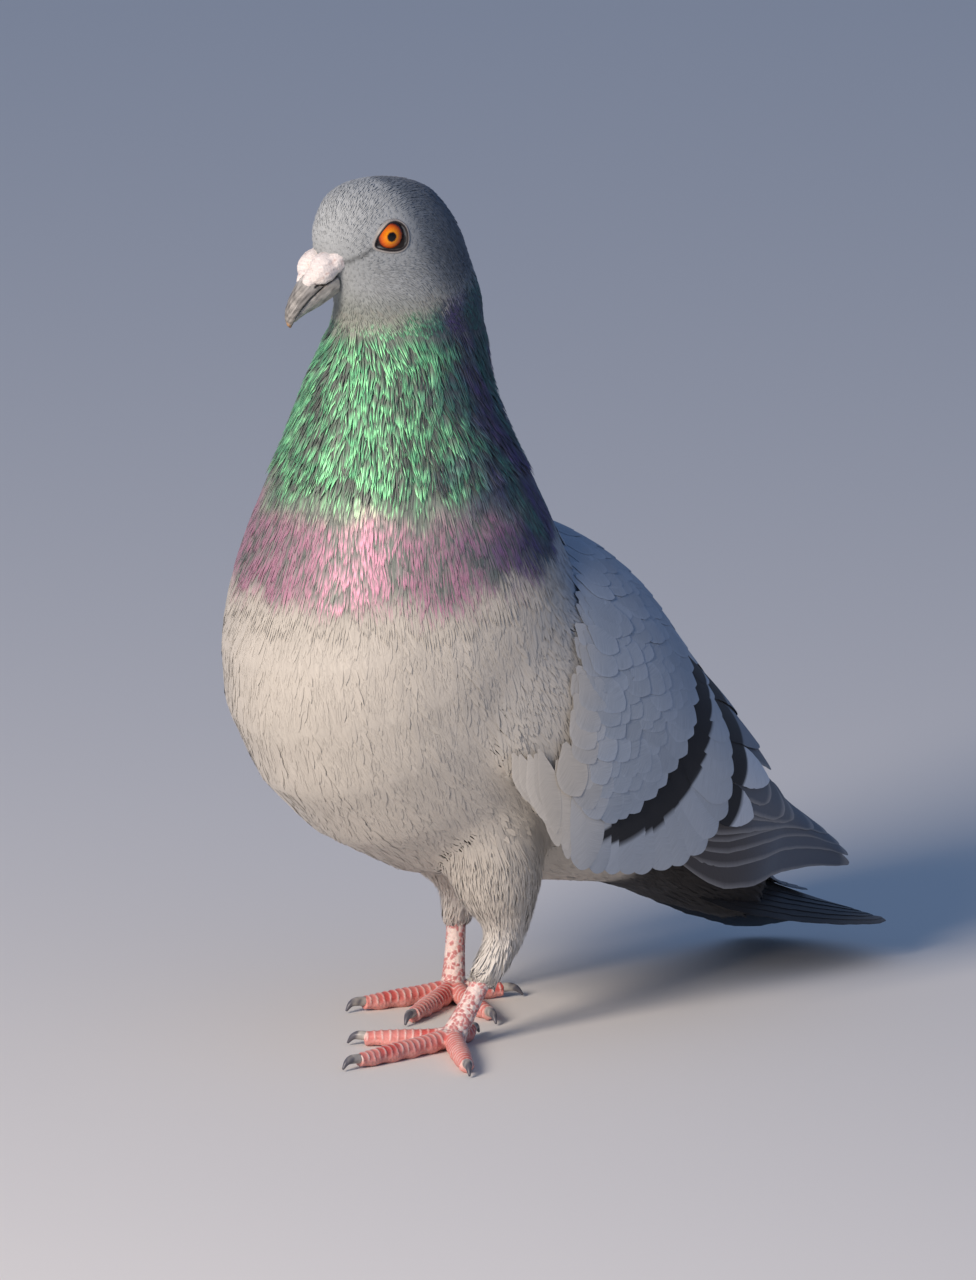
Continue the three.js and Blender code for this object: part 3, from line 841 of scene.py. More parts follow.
@dataclass(frozen=True)
class Tract:
    """One area of body feathers and how they look.

    Attributes:
        name: The coat piece's name.
        slot: The name of its slot, handed on to ride_root but not used there.
        covers: Tells for each place whether these feathers grow there.
        spacing: The least distance between feathers, in millimetres like every size here.
        length: How long a feather is.
        width: How wide it is at its widest.
        barbs: How many strands it has.
        barb: How wide each strand is.
        lift: How high its tip stands over the skin.
        rise: How much higher single strands may stand.
        ragged: How unequal the strands' lengths are, as a share.
        yaw: How much feathers differ in direction, in degrees.
        roll: How much strands differ in tilt, in degrees.
        softness: How much the shading follows the skin instead of the strand.
        ridge: How high a strand's middle is over its edges.
        contrast: How much strands differ in tone.
        spread: The feather's width at the root, twice between, and at the tip, as shares.
        twist: How much whole feathers differ in tilt, in degrees.
        blunt: How wide a strand's tip is, as a share.
        group: How much a feather's strands share one tone.
        seed: The random seed.
        scale: How much smaller feathers are at each place, if at all.
        hue: The colours at places, where they aren't the body's own.
    """

    name: str
    slot: str
    covers: Callable[[Array], Array]
    spacing: float
    length: float
    width: float
    barbs: int
    barb: float
    lift: float
    rise: float = 0.0
    ragged: float = 0.2
    yaw: float = 4.0
    roll: float = 12.0
    softness: float = 0.6
    ridge: float = 0.5
    contrast: float = 0.1
    spread: tuple[float, float, float, float] = (0.55, 0.75, 0.9, 1.0)
    twist: float = 0.0
    blunt: float = 0.0
    group: float = 0.4
    seed: int = 1
    scale: Callable[[Array], Array] | None = None
    hue: Callable[[Array, Array, Array], Array] | None = None

    def grow(self, skin: Surface, lie: Callable[[Array, Array], Array]) -> bpy.types.Object:
        """Grows the feathers over the skin.

        Args:
            skin: The surface that they root in.
            lie: The direction that feathers point, from places and normals.

        Returns:
            The dressed coat piece.
        """
        random = np.random.default_rng(self.seed)
        roots, normals = skin.scatter(self.covers, self.spacing, self.seed)
        count, steps = len(roots), len(self.spread) - 1
        scale = self.scale(roots) if self.scale else np.ones(count)
        length = self.length * random.uniform(0.88, 1.12, count) * scale
        path, over, ahead = [roots], [normals], [lie(roots, normals)]
        shades = [skin.nearest(roots)[2]]
        yaw = np.radians(random.normal(0, self.yaw, count))
        ahead[0] = unit(ahead[0] * np.cos(yaw)[:, None] + np.cross(normals, ahead[0]) * np.sin(yaw)[:, None])
        for _ in range(steps):
            point, normal, shade = skin.nearest(path[-1] + ahead[-1] * (length / steps)[:, None])
            path.append(point)
            over.append(normal)
            shades.append(shade)
            ahead.append(laid_flat(ahead[-1], normal))
        path, over, ahead, shades = (np.stack(values, axis=1) for values in (path, over, ahead, shades))
        # Barbs: their places across the feather, and their own lengths.
        across = np.linspace(-1, 1, self.barbs)[None] + random.normal(0, 0.08, (count, self.barbs))
        reach = 1 - 0.28 * across**2 - self.ragged * random.random((count, self.barbs))
        stations = np.array([0.0, 0.35, 0.72, 1.0])
        share = (stations[None, None] * reach[..., None]).clip(0, 1) * steps
        cell = np.minimum(share.astype(int), steps - 1)
        part = (share - cell)[..., None]
        rows = np.arange(count)[:, None, None]

        def between(values: Array) -> Array:
            """Values at the strands' stations."""
            return values[rows, cell] * (1 - part) + values[rows, cell + 1] * part

        centre, up, along = between(path), unit(between(over)), unit(between(ahead))
        each, small = (count, self.barbs, 1), scale[:, None, None]
        side = np.cross(up, along)
        spread = np.array(self.spread)
        offset = across[..., None] * spread * self.width / 2 * (0.4 + 0.6 * small)
        wobble = np.radians(random.normal(0, self.yaw * 0.6, each))
        offset = offset + wobble * stations * reach[..., None] * self.length
        lift = self.lift * random.uniform(0.88, 1.12, each) * stations**1.1
        lift = (lift + self.rise * stations**2 * random.random(each)) * small
        camber = 0.2 * self.lift * (1 - across[..., None] ** 2)
        centre = centre + side * offset[..., None] + up * (lift + camber - 0.1)[..., None]
        roll = random.normal(0, self.roll, each) + 14 * across[..., None]
        roll = np.radians(roll + random.normal(0, self.twist, (count, 1, 1)))
        tilted = side * np.cos(roll)[..., None] - up * np.sin(roll)[..., None]
        raised = up * np.cos(roll)[..., None] + side * np.sin(roll)[..., None]
        profile = np.array([0.75, 1.0, 0.8 + 0.2 * self.blunt, self.blunt])
        half = profile * self.barb / 2 * random.uniform(0.8, 1.2, each)
        half = half * (0.55 + 0.45 * small)
        tones = random.random(each) * (1 - self.group)
        tones = tones + random.random((count, 1, 1)) * self.group
        flat = (count * self.barbs, 4, 3)
        places = centre.reshape(flat)
        strand = np.broadcast_to(tones, (count, self.barbs, 4)).reshape(-1)
        along = np.broadcast_to(stations, (count, self.barbs, 4)).reshape(-1)
        hue = self.hue or MARKINGS.body
        colour = hue(places.reshape(-1, 3), strand, along).reshape(flat)
        colour = colour * (1 - self.contrast / 2 + self.contrast * strand.reshape(-1, 4, 1))
        gloss = MARKINGS.gloss(places.reshape(-1, 3), strand, along).reshape(flat[:2])
        level, angle = SPINE.place(roots)
        root = np.stack([angle, level], axis=1)
        root = inset((root - root.min(axis=0)) / np.ptp(root, axis=0))
        shift = np.stack([across * 0.4 * self.spacing, np.zeros_like(across)], axis=-1) * 0.004
        patches = (root[:, None] + shift).reshape(-1, 2)
        strands = Barbs(
            centre=places,
            across=tilted.reshape(flat),
            over=raised.reshape(flat),
            half=half.reshape(flat[:2]),
            shade=unit(between(shades)).reshape(flat),
            colour=colour,
            gloss=gloss,
            root=patches,
        )
        made = strands.build(self.name, self.ridge, self.softness)
        return ride_root(made, PlumageFinish().material(), self.slot)


# ---- Wings and tail ----
def smooth_values(values: Array, at: Array) -> Array:
    """A Catmull-Rom curve through evenly spaced values, read at shares from 0 to 1."""
    held = np.concatenate([[2 * values[0] - values[1]], values, [2 * values[-1] - values[-2]]])
    place = np.clip(at, 0, 1) * (len(values) - 1)
    cell = np.minimum(place.astype(int), len(values) - 2)
    w = place - cell
    p0, p1, p2, p3 = (held[cell + step] for step in range(4))
    t0, t1 = (p2 - p0) / 2, (p3 - p1) / 2
    return (2 * p1 - 2 * p2 + t0 + t1) * w**3 + (3 * p2 - 3 * p1 - 2 * t0 - t1) * w**2 + t0 * w + p1


class Shell:
    """A curved sheet that feathers lie on, told by millimetres along and down it."""

    def __init__(self, along: Array, down: Array, points: Array) -> None:
        """Keeps the sheet as a grid of points and works out its normals.

        Args:
            along: The evenly spaced values along the first side.
            down: The evenly spaced values along the second side.
            points: The grid of places, with one row for each value along.
        """
        self.along, self.down, self.points = along, down, points
        self.normals = unit(np.cross(np.gradient(points, axis=1), np.gradient(points, axis=0)))

    def at(self, places: Array) -> tuple[Array, Array]:
        """The points and normals of the sheet at places of (along, down)."""
        a = (places[..., 0] - self.along[0]) / (self.along[1] - self.along[0])
        d = (places[..., 1] - self.down[0]) / (self.down[1] - self.down[0])
        i = np.clip(a.astype(int), 0, len(self.along) - 2)
        j = np.clip(d.astype(int), 0, len(self.down) - 2)
        a, d = (a - i)[..., None], (d - j)[..., None]
        found = []
        for grid in (self.points, self.normals):
            near = grid[i, j] * (1 - d) + grid[i, j + 1] * d
            far = grid[i + 1, j] * (1 - d) + grid[i + 1, j + 1] * d
            found.append(near * (1 - a) + far * a)
        return found[0], unit(found[1])


@dataclass(frozen=True)
class WingStation:
    """A section of the folded wing, square to the line that slopes to the tail."""

    along: float
    side: float
    half: float
    rise: float
    drop: float
    top: float
    low: float


@dataclass(frozen=True)
class WingForm:
    """The outside of a folded left wing as a sheet.

    Down is the angle from straight up about a line inside the body, times a radius.
    """

    slope: float = math.radians(27.4)
    back: float = 31.73
    axis: float = 87.0
    radius: float = 52.0
    stations: tuple[WingStation, ...] = (
        WingStation(-92, 97, 40, 12, 20, 70, 100),
        WingStation(-78, 94, 47.5, 24, 40, 58, 110),
        WingStation(-68, 91, 51, 38, 68, 30, 115),
        WingStation(-47, 88, 53, 47, 86, 12, 116),
        WingStation(-22, 88, 53, 45, 90, 7, 117),
        WingStation(4, 86, 49.5, 36, 70, 5, 116),
        WingStation(30, 84, 43, 29, 50, 5, 113),
        WingStation(54, 84, 34, 19, 36, 8, 106),
        WingStation(66, 85, 28, 13, 28, 24, 94),
        WingStation(85, 85.5, 20.5, 10, 22, 30, 92),
        WingStation(106, 85.5, 13, 8, 16, 40, 90),
        WingStation(122, 84.5, 8, 6.5, 12, 40, 90),
    )

    def values(self, along: Array) -> dict[str, Array]:
        """Every station value at places along the wing."""
        share = np.linspace(0, 1, 600)
        columns = {
            key: smooth_values(np.array([getattr(one, key) for one in self.stations], float), share)
            for key in ("along", "side", "half", "rise", "drop", "top", "low")
        }
        return {key: np.interp(along, columns["along"], column) for key, column in columns.items()}

    def section(self, value: dict[str, Array], turns: Array) -> tuple[Array, Array]:
        """The x and height of a section at angles from straight up.

        Under its widest line the sheet tucks in over the body, but flares out at the rear.
        """
        radius = np.where(np.cos(turns) > 0, value["rise"], value["drop"])
        height = value["side"] + radius * np.cos(turns)
        under = value["drop"] * np.clip(-np.cos(turns), 0, 1)
        flare = smoothstep(-8, 62, value["along"])
        tucked = value["half"] * np.sin(turns)
        flared = tucked + (value["half"] + 0.12 * under - tucked) * flare
        return np.where(turns > math.pi / 2, flared, tucked), height

    def edges(self, along: Array) -> tuple[Array, Array]:
        """The down values of the wing's top and bottom edges at places along it."""
        value = self.values(along)
        found = []
        for key in ("top", "low"):
            x, height = self.section(value, np.radians(value[key]))
            found.append(np.arctan2(x, height - self.axis) * self.radius)
        return found[0], found[1]

    def world(self, points: Array) -> Array:
        """Turns (x, along, height) into the part's frame."""
        x, along, height = points[..., 0], points[..., 1], points[..., 2]
        cos, sin = math.cos(self.slope), math.sin(self.slope)
        return np.stack([x, along * cos + height * sin - self.back, height * cos - along * sin], axis=-1)

    def own(self, points: Array) -> Array:
        """Turns places of the part's frame into (along, down) with X on the left taken as positive."""
        y = points[..., 1] + self.back
        cos, sin = math.cos(self.slope), math.sin(self.slope)
        along, height = y * cos - points[..., 2] * sin, y * sin + points[..., 2] * cos
        angle = np.arctan2(np.abs(points[..., 0]), height - self.axis)
        return np.stack([along, angle * self.radius], axis=-1)

    def shell(self) -> Shell:
        """Builds the sheet."""
        along = np.arange(-92.0, 116.0, 1.0)
        down = np.arange(-4.0, 150.0, 1.0)
        value = self.values(along)
        turns = np.radians(np.arange(-8, 172, 1.0))
        points = np.zeros((len(along), len(down), 3))
        for row in range(len(along)):
            x, height = self.section({key: column[row] for key, column in value.items()}, turns)
            angle = np.unwrap(np.arctan2(x, height - self.axis)) * self.radius
            points[row, :, 0] = np.interp(down, angle, x)
            points[row, :, 1] = along[row]
            points[row, :, 2] = np.interp(down, angle, height)
        return Shell(along, down, self.world(points))

    def spot(self, along: float, height: float) -> tuple[float, float]:
        """The (along, down) of the place on the wing's side at that height over the slope."""
        value = {key: column[0] for key, column in self.values(np.array([along])).items()}
        x, heights = self.section(value, np.radians(np.arange(170.0, -1, -1)))
        x = float(np.interp(height, heights, x))
        return along, math.atan2(x, min(height, heights.max()) - self.axis) * self.radius


@dataclass
class Line:
    """A drawn line over the wing, which tells how far a place is past it towards the tail."""

    places: Array

    def past(self, points: Array) -> Array:
        """The signed distance of each place from the line, positive on the tail's side."""
        start, step = self.places[:-1], np.diff(self.places, axis=0)
        gap = points[:, None] - start
        share = np.clip((gap * step).sum(-1) / (step**2).sum(-1), 0, 1)
        away = gap - share[..., None] * step
        far = np.linalg.norm(away, axis=-1)
        best = far.argmin(axis=1)
        rows = np.arange(len(points))
        turn = step[best, 1] * gap[rows, best, 0] - step[best, 0] * gap[rows, best, 1]
        return far[rows, best] * np.sign(turn)

    def spaced(self, spacing: float) -> tuple[Array, Array]:
        """Places at even distances along the line, and their shares of its point numbers."""
        length = np.concatenate([[0], np.cumsum(np.linalg.norm(np.diff(self.places, axis=0), axis=1))])
        at = np.arange(spacing / 2, length[-1], spacing)
        places = np.stack([np.interp(at, length, column) for column in self.places.T], axis=1)
        return places, np.interp(at, length, np.arange(len(length)))


@dataclass(frozen=True)
class VaneShape:
    """How the feathers of one kind are built, with sizes in millimetres.

    Attributes:
        rows: Sections from quill to tip.
        columns: Points across each section.
        lift: How high the quill and the tip lie over the sheet.
        tip_from: Where along it the blade begins to narrow.
        tip_end: How wide its end is, as a share.
        quill: How far from the root it reaches its full width.
        slant: How much further one corner of the end reaches.
        round_by: How round the end is.
        tilt: How much one edge stands over the other.
        camber: How high the middle is over the edges.
        thick: The blade's thickness.
        ragged: How uneven its edges are.
        softness: How much its shading follows the sheet.
        gather: How much closer together the sections are towards the tip.
    """

    rows: int
    columns: int
    lift: tuple[float, float]
    tip_from: float = 0.7
    tip_end: float = 0.15
    quill: float = 0.5
    slant: float = 0.0
    round_by: float = 0.3
    tilt: float = 0.18
    camber: float = 0.2
    thick: float = 0.12
    ragged: float = 0.04
    softness: float = 0.5
    gather: float = 1.35


@dataclass
class Vanes:
    """Feathers of one kind laid on a sheet, each a thin closed blade.

    Attributes:
        shape: How each is built.
        root: Places of the quills on the sheet, (count, 2).
        tip: Places of the tips, (count, 2).
        half: Half widths, (count).
        sag: How far the middle of each blade bows down the sheet, (count).
        layer: How much higher than the shape's own lift each lies, (count).
        seed: The random seed.
    """

    shape: VaneShape
    root: Array
    tip: Array
    half: Array
    sag: Array
    layer: Array
    seed: int

    def lay(
        self, shell: Shell, mirror: int, paint_vane: Callable[[Array, Array, Array, Array], Array]
    ) -> tuple[Array, Array, Array, Array, Array, Array]:
        """Lays the feathers out.

        Args:
            shell: The sheet.
            mirror: 1 on the left, -1 on the right.
            paint_vane: Gives colours from centre places, shares across, shares along and counts.

        Returns:
            Points, triangles, normals, colours, vane map and root map of all the feathers.
        """
        shape = self.shape
        random = np.random.default_rng(self.seed)
        count, rows, columns = len(self.root), shape.rows, shape.columns
        t = 1 - (1 - np.linspace(0, 1, rows)) ** shape.gather
        s = np.linspace(-1, 1, columns)
        vector = self.tip - self.root
        length = np.linalg.norm(vector, axis=1)
        ahead = vector / length[:, None]
        side = np.stack([-ahead[:, 1], ahead[:, 0]], axis=1)
        into = np.clip((t - shape.tip_from) / (1 - shape.tip_from), 0, 1)
        width = smoothstep(-0.15, shape.quill, t) * np.sqrt(1 - into**2 * (1 - shape.tip_end**2))
        ragged = 1 + shape.ragged * random.normal(size=(count, rows, 2))
        left_right = np.where(s < 0, 0, 1)
        spread = self.half[:, None, None] * width[None, :, None] * s * ragged[:, :, left_right]
        pull = -shape.round_by * self.half[:, None, None] * s**2 * (t**2 * width)[None, :, None]
        pull = pull - shape.slant * (1 - s) / 2 * smoothstep(0.4, 1.0, t)[None, :, None]
        bow = self.sag[:, None] * 4 * t * (1 - t)
        middle = self.root[:, None] + vector[:, None] * t[None, :, None] + side[:, None] * bow[..., None]
        places = middle[:, :, None] + side[:, None, None] * spread[..., None]
        places = places + ahead[:, None, None] * pull[..., None]
        lift = shape.lift[0] + (shape.lift[1] - shape.lift[0]) * t[None, :, None] ** 1.2
        lift = lift + shape.tilt * s * smoothstep(0, 0.4, t)[None, :, None]
        lift = lift + shape.camber * (1 - s**2) + self.layer[:, None, None]
        lift = lift + 0.06 * random.normal(size=(count, 1, 1))
        base, normal = shell.at(places)
        top = base + normal * lift[..., None]
        bottom = top - normal * shape.thick
        own = unit(np.cross(np.gradient(top, axis=2), np.gradient(top, axis=1)))
        own[:, -1] = normal[:, -1]
        own = unit(own * (1 - shape.softness) + normal * shape.softness)
        points = np.concatenate([top.reshape(count, -1, 3), bottom.reshape(count, -1, 3)], axis=1)
        normals = np.concatenate([own.reshape(count, -1, 3), -own.reshape(count, -1, 3)], axis=1)
        points[..., 0] *= mirror
        normals[..., 0] *= mirror
        across = np.broadcast_to(s, (count, rows, columns))
        length_share = np.broadcast_to(t[None, :, None], across.shape)
        centres = np.broadcast_to(middle[:, :, None], (count, rows, columns, 2))
        which = np.broadcast_to(np.arange(count)[:, None, None], across.shape)
        colour = paint_vane(centres.reshape(-1, 2), across.ravel(), length_share.ravel(), which.ravel())
        colour = colour.reshape(count, -1, 3)
        colours = np.concatenate([colour, colour * 0.8], axis=1)
        run = length[:, None, None] * t[None, :, None] - 0.7 * np.abs(spread)
        run = run + 3.7 * np.arange(count)[:, None, None]
        vane = np.stack([np.broadcast_to(run, spread.shape), spread], axis=-1).reshape(count, -1, 2)
        vane = np.concatenate([vane, vane], axis=1)
        low, high = np.array([shell.along[0], shell.down[0]]), np.array([shell.along[-1], shell.down[-1]])
        spot = inset((self.root - low) / (high - low))
        local = np.stack([across, length_share * 2 - 1], axis=-1).reshape(count, -1, 2) * TUFT_PATCH / 2
        bake = spot[:, None] + np.concatenate([local, local], axis=1)
        return (
            points.reshape(-1, 3),
            self.triangles(count, rows, columns, mirror),
            normals.reshape(-1, 3),
            colours.reshape(-1, 3),
            vane.reshape(-1, 2),
            bake.reshape(-1, 2),
        )

    @staticmethod
    def triangles(count: int, rows: int, columns: int, mirror: int) -> Array:
        """The faces of closed blades: top, underside and rim."""
        faces = []
        under = rows * columns
        for row in range(rows - 1):
            for column in range(columns - 1):
                a = row * columns + column
                b, c, d = a + 1, a + columns + 1, a + columns
                faces += [(a, b, c), (a, c, d)]
                faces += [(a + under, c + under, b + under), (a + under, d + under, c + under)]
        rim = list(range(columns))
        rim += [row * columns + columns - 1 for row in range(1, rows)]
        rim += [(rows - 1) * columns + column for column in range(columns - 2, -1, -1)]
        rim += [row * columns for row in range(rows - 2, 0, -1)]
        for first, second in zip(rim, rim[1:] + rim[:1]):
            faces += [(first, first + under, second + under), (first, second + under, second)]
        template = np.array(faces)
        if mirror < 0:
            template = template[:, ::-1]
        return (template[None] + 2 * under * np.arange(count)[:, None, None]).reshape(-1, 3)


def join_vanes(name: str, parts: Sequence[tuple[Array, ...]]) -> bpy.types.Object:
    """Joins laid feathers into one mesh with their colours, normals and maps."""
    sizes = np.cumsum([0] + [len(part[0]) for part in parts])
    points, _, normals, colours, vane, bake = (np.concatenate(column) for column in zip(*parts))
    triangles = np.concatenate([part[1] + start for part, start in zip(parts, sizes)])
    made = make_mesh(name, points, triangles)
    made.data.normals_split_custom_set_from_vertices(normals.astype(np.float32))
    paint(made, colours)
    lay_map(made, VANE, vane)
    lay_map(made, BAKE, bake)
    return made


@dataclass(frozen=True)
class VaneFinish:
    """Closed feather vanes: satin, with fine barb lines that run from the shaft to the edge."""

    name: str
    roughness: float = 0.6
    specular: float = 0.35
    streak: float = 0.08
    bump: float = 0.35

    def material(self) -> bpy.types.Material:
        """Builds the material."""
        values = {"Roughness": self.roughness, "Specular IOR Level": self.specular, "Sheen Weight": 0.08}
        material, tree, shader = blank_material(self.name, values)
        _, barbs = Grain((2.2, 0.12, 1.0), 1.6, 3.0, self.streak).onto(tree, shader)
        relief = {"Height": barbs.outputs["Fac"], "Strength": self.bump, "Distance": 0.15 * MM}
        tree.links.new(node(tree, "ShaderNodeBump", relief).outputs["Normal"], shader.inputs["Normal"])
        return material


FLIGHT_VANE = VaneFinish("flight_vane", roughness=0.5)
COVERT_VANE = VaneFinish("covert_vane", roughness=0.75, specular=0.2)
TAIL_VANE = VaneFinish("tail_vane", roughness=0.55)


def feather_tones(which: Array, seed: int, amount: float) -> Array:
    """A steady change of tone for each feather, told by its number at each point."""
    tones = np.random.default_rng(seed).normal(1, amount, int(which.max()) + 1)
    return tones[which][:, None]


@dataclass(frozen=True)
class WingInk:
    """The colours of the wings and the rump."""

    # The wing's pale front is partly the breast's own colour and partly painted light on the sunlit front.
    pale: str = "#bcb6ac"
    covert: str = "#98a1ac"
    back: str = "#9aa0a8"
    bar: str = "#232428"
    stripe: str = "#acb2b9"
    white: str = "#cfd2d6"
    tertial: str = "#7b818b"
    primary: str = "#474e5a"
    dusky: str = "#3b3739"
    edge: str = "#8b8886"
    rump: str = "#6d7177"
    rump_streak: str = "#43464b"
    rump_tip: str = "#8d9095"


@dataclass
class Wing:
    """A folded wing: coverts in rows, two dark bars, secondaries and primaries."""

    side: Side
    form: WingForm
    shell: Shell
    ink: WingInk = WingInk()

    # Each mark is (along, height over the slope), some with a direction in degrees below the slope.
    COVERT_TIPS = (
        (-30, 133, 0), (-20, 128, 1), (-15, 119, 3), (-8, 113, 4), (-7, 108, 6), (-6, 97, 8), (-6, 90, 10),
        (-6.5, 86, 12), (-9, 80, 14), (-10, 75, 18), (-12, 70, 24), (-15, 65, 30), (-21, 60, 38),
        (-27, 59.5, 44), (-37, 60, 40), (-47, 63, 34), (-57, 68, 30),
    )
    BAR_END = (
        (-20, 130), (-14, 125), (-9, 116), (3, 113), (4, 109), (3.2, 103), (3.7, 98), (3.2, 92), (4, 89),
        (3.2, 85), (2.4, 80), (1.5, 76), (-1.5, 70), (-3, 65), (-9, 60), (-21.5, 54), (-27.5, 52.5),
    )
    GREATER_TIPS = (
        (-12, 128, 0), (-7, 122.5, 0), (6, 110, 3), (8, 102, 6), (13, 97, 8), (17.5, 90, 10), (21, 82, 12),
        (22.5, 74, 18), (20, 66, 25), (12, 58, 37), (3, 53, 45), (-8, 49, 55), (-20, 45.5, 57),
        (-28, 44.5, 52), (-40, 50, 40), (-54, 56, 30),
    )
    REAR_BAR_END = (
        (10, 118), (15, 111), (22, 104), (23.6, 99), (25.5, 95.5), (26, 90), (27, 84), (28.4, 78), (25, 70),
    )
    FRONT_SLOPES = (
        (-60, 120, 12), (-60, 100, 22), (-60, 85, 30), (-60, 70, 34), (-35, 110, 6), (-35, 95, 12),
        (-35, 80, 20), (-35, 70, 30),
    )
    BAR_FRONT = -24.5  # how far forward the front bar goes
    # Along the greater coverts' line, counted in its marks: where the broad ones end at the front
    # and the small ones begin.
    BROAD_TO, SMALL_FROM = 12.6, 12.4
    # Root and tip as (along, height), half width and, for the flight feathers, the layer.
    TERTIALS = (
        (-22, 112, 33, 111.2, 7.0), (-20, 104, 38, 107, 7.0), (-15, 97, 41.5, 101, 7.0),
        (-12, 90, 41.5, 92, 6.8), (-10, 80, 36.5, 80, 6.6),
    )
    FLIGHT = (
        (0, 99, 46, 103, 8.0, -0.2), (0, 95, 52, 99, 8.0, -0.4), (-2, 90, 46.5, 90, 8.0, -0.6),
        (-2, 84, 58, 89, 8.5, -0.8), (-2, 79, 67, 90, 9.0, -1.0), (0, 72, 82, 91, 9.4, -1.2),
        (2, 67.5, 93, 92, 9.2, -1.4), (2, 65, 101, 91, 9.4, -1.6), (4, 63, 107, 89.5, 9.4, -1.8),
        (8, 61.5, 109, 86.5, 9.0, -2.0),
    )

    def line(self, marks: Sequence[Sequence[float]]) -> Line:
        """A line through marks of (along, height)."""
        return Line(np.array([self.form.spot(mark[0], mark[1]) for mark in marks]))

    def __post_init__(self) -> None:
        """Draws the lines of the wing's pattern."""
        self.coverts = self.line(self.COVERT_TIPS)
        self.bar_end = self.line(self.BAR_END)
        self.greater = self.line(self.GREATER_TIPS)
        self.rear_end = self.line(self.REAR_BAR_END)
        self.seed = 50 if self.side is Side.LEFT else 80

    def slopes(self, places: Array) -> Array:
        """How far each feather points down the sheet from the slope, in degrees."""
        known = self.COVERT_TIPS + self.GREATER_TIPS + self.FRONT_SLOPES
        table = np.array([(*self.form.spot(a, h), d) for a, h, d in known])
        gap = np.linalg.norm(places[:, None] - table[None, :, :2], axis=-1)
        weight = 1 / (gap + 3) ** 3
        return (weight * table[:, 2]).sum(axis=1) / weight.sum(axis=1)

    def aimed(self, tips: Array, length: Array) -> Array:
        """The quill places of feathers whose tips are given."""
        down = np.radians(self.slopes(tips))
        return tips - headings(down) * length[:, None]

    def row(
        self, shape: VaneShape, tips: Array, length: float, half: float, seed: int, jitter: float = 0.05
    ) -> Vanes:
        """One row or field of coverts with their tips at given places."""
        random = np.random.default_rng(self.seed + seed)
        count = len(tips)
        tips = tips + random.normal(0, jitter * half * 2, (count, 2))
        front = smoothstep(-40, -53, tips[:, 0])
        lengths = length * random.uniform(0.93, 1.07, count) * (1 - 0.4 * front)
        return Vanes(
            shape,
            self.aimed(tips, lengths),
            tips,
            half * random.uniform(0.93, 1.07, count) * (1 - 0.2 * front),
            random.normal(0.3, 0.25, count),
            -0.5 * front,
            self.seed + seed,
        )

    @staticmethod
    def front(places: Array) -> Array:
        """How far places are on the wing's pale front, which runs slantwise down and back; the front is
        partly painted light, ending where the wing's side lies in shade.
        """
        return smoothstep(11, -11, places[:, 0] + 57 - 0.587 * (places[:, 1] - 67.5))

    def covert_colour(self, centre: Array, across: Array, t: Array, which: Array) -> Array:
        """Pale grey coverts, paler and warmer to the front, partly the breast's colour and partly painted
        light, with faint edges.
        """
        colour = mixed(linear(self.ink.covert), linear(self.ink.pale), self.front(centre))
        colour = mixed(colour, colour * 1.1, smoothstep(0.8, 1.0, np.maximum(t, np.abs(across))))
        return colour * feather_tones(which, self.seed + 1, 0.035)

    def greater_colour(self, centre: Array, across: Array, t: Array, which: Array) -> Array:
        """Greater coverts: a dark bar across, then a pale stripe to the tip."""
        bar = smoothstep(0.4, -0.4, self.bar_end.past(centre)) * (centre[:, 0] > self.BAR_FRONT)
        # The stripe takes the front's pale colour, partly painted light.
        stripe = mixed(linear(self.ink.stripe), linear(self.ink.pale), self.front(centre))
        colour = mixed(stripe, linear(self.ink.bar), bar)
        return colour * feather_tones(which, self.seed + 2, 0.03)

    def tertial_colour(self, centre: Array, across: Array, t: Array, which: Array) -> Array:
        """Tertials: the rear bar, then a white or grey end."""
        bar = smoothstep(0.5, -0.5, self.rear_end.past(centre))
        low = (which >= 3).astype(float)
        end = mixed(linear(self.ink.tertial), linear(self.ink.white), low)
        return mixed(end, linear(self.ink.bar), bar) * feather_tones(which, self.seed + 3, 0.03)

    def flight_colour(self, centre: Array, across: Array, t: Array, which: Array) -> Array:
        """Secondaries and primaries: slate with a brown base and a thin pale edge."""
        colour = mixed(linear(self.ink.dusky), linear(self.ink.primary), smoothstep(0.3, 0.55, t))
        dark = 1 - 0.3 * smoothstep(0.2, -0.9, across)
        colour = colour * dark[:, None]
        edge = smoothstep(0.93, 0.99, np.maximum(across, t * 0.995))
        return mixed(colour, linear(self.ink.edge), edge * 0.9) * feather_tones(which, self.seed + 4, 0.05)

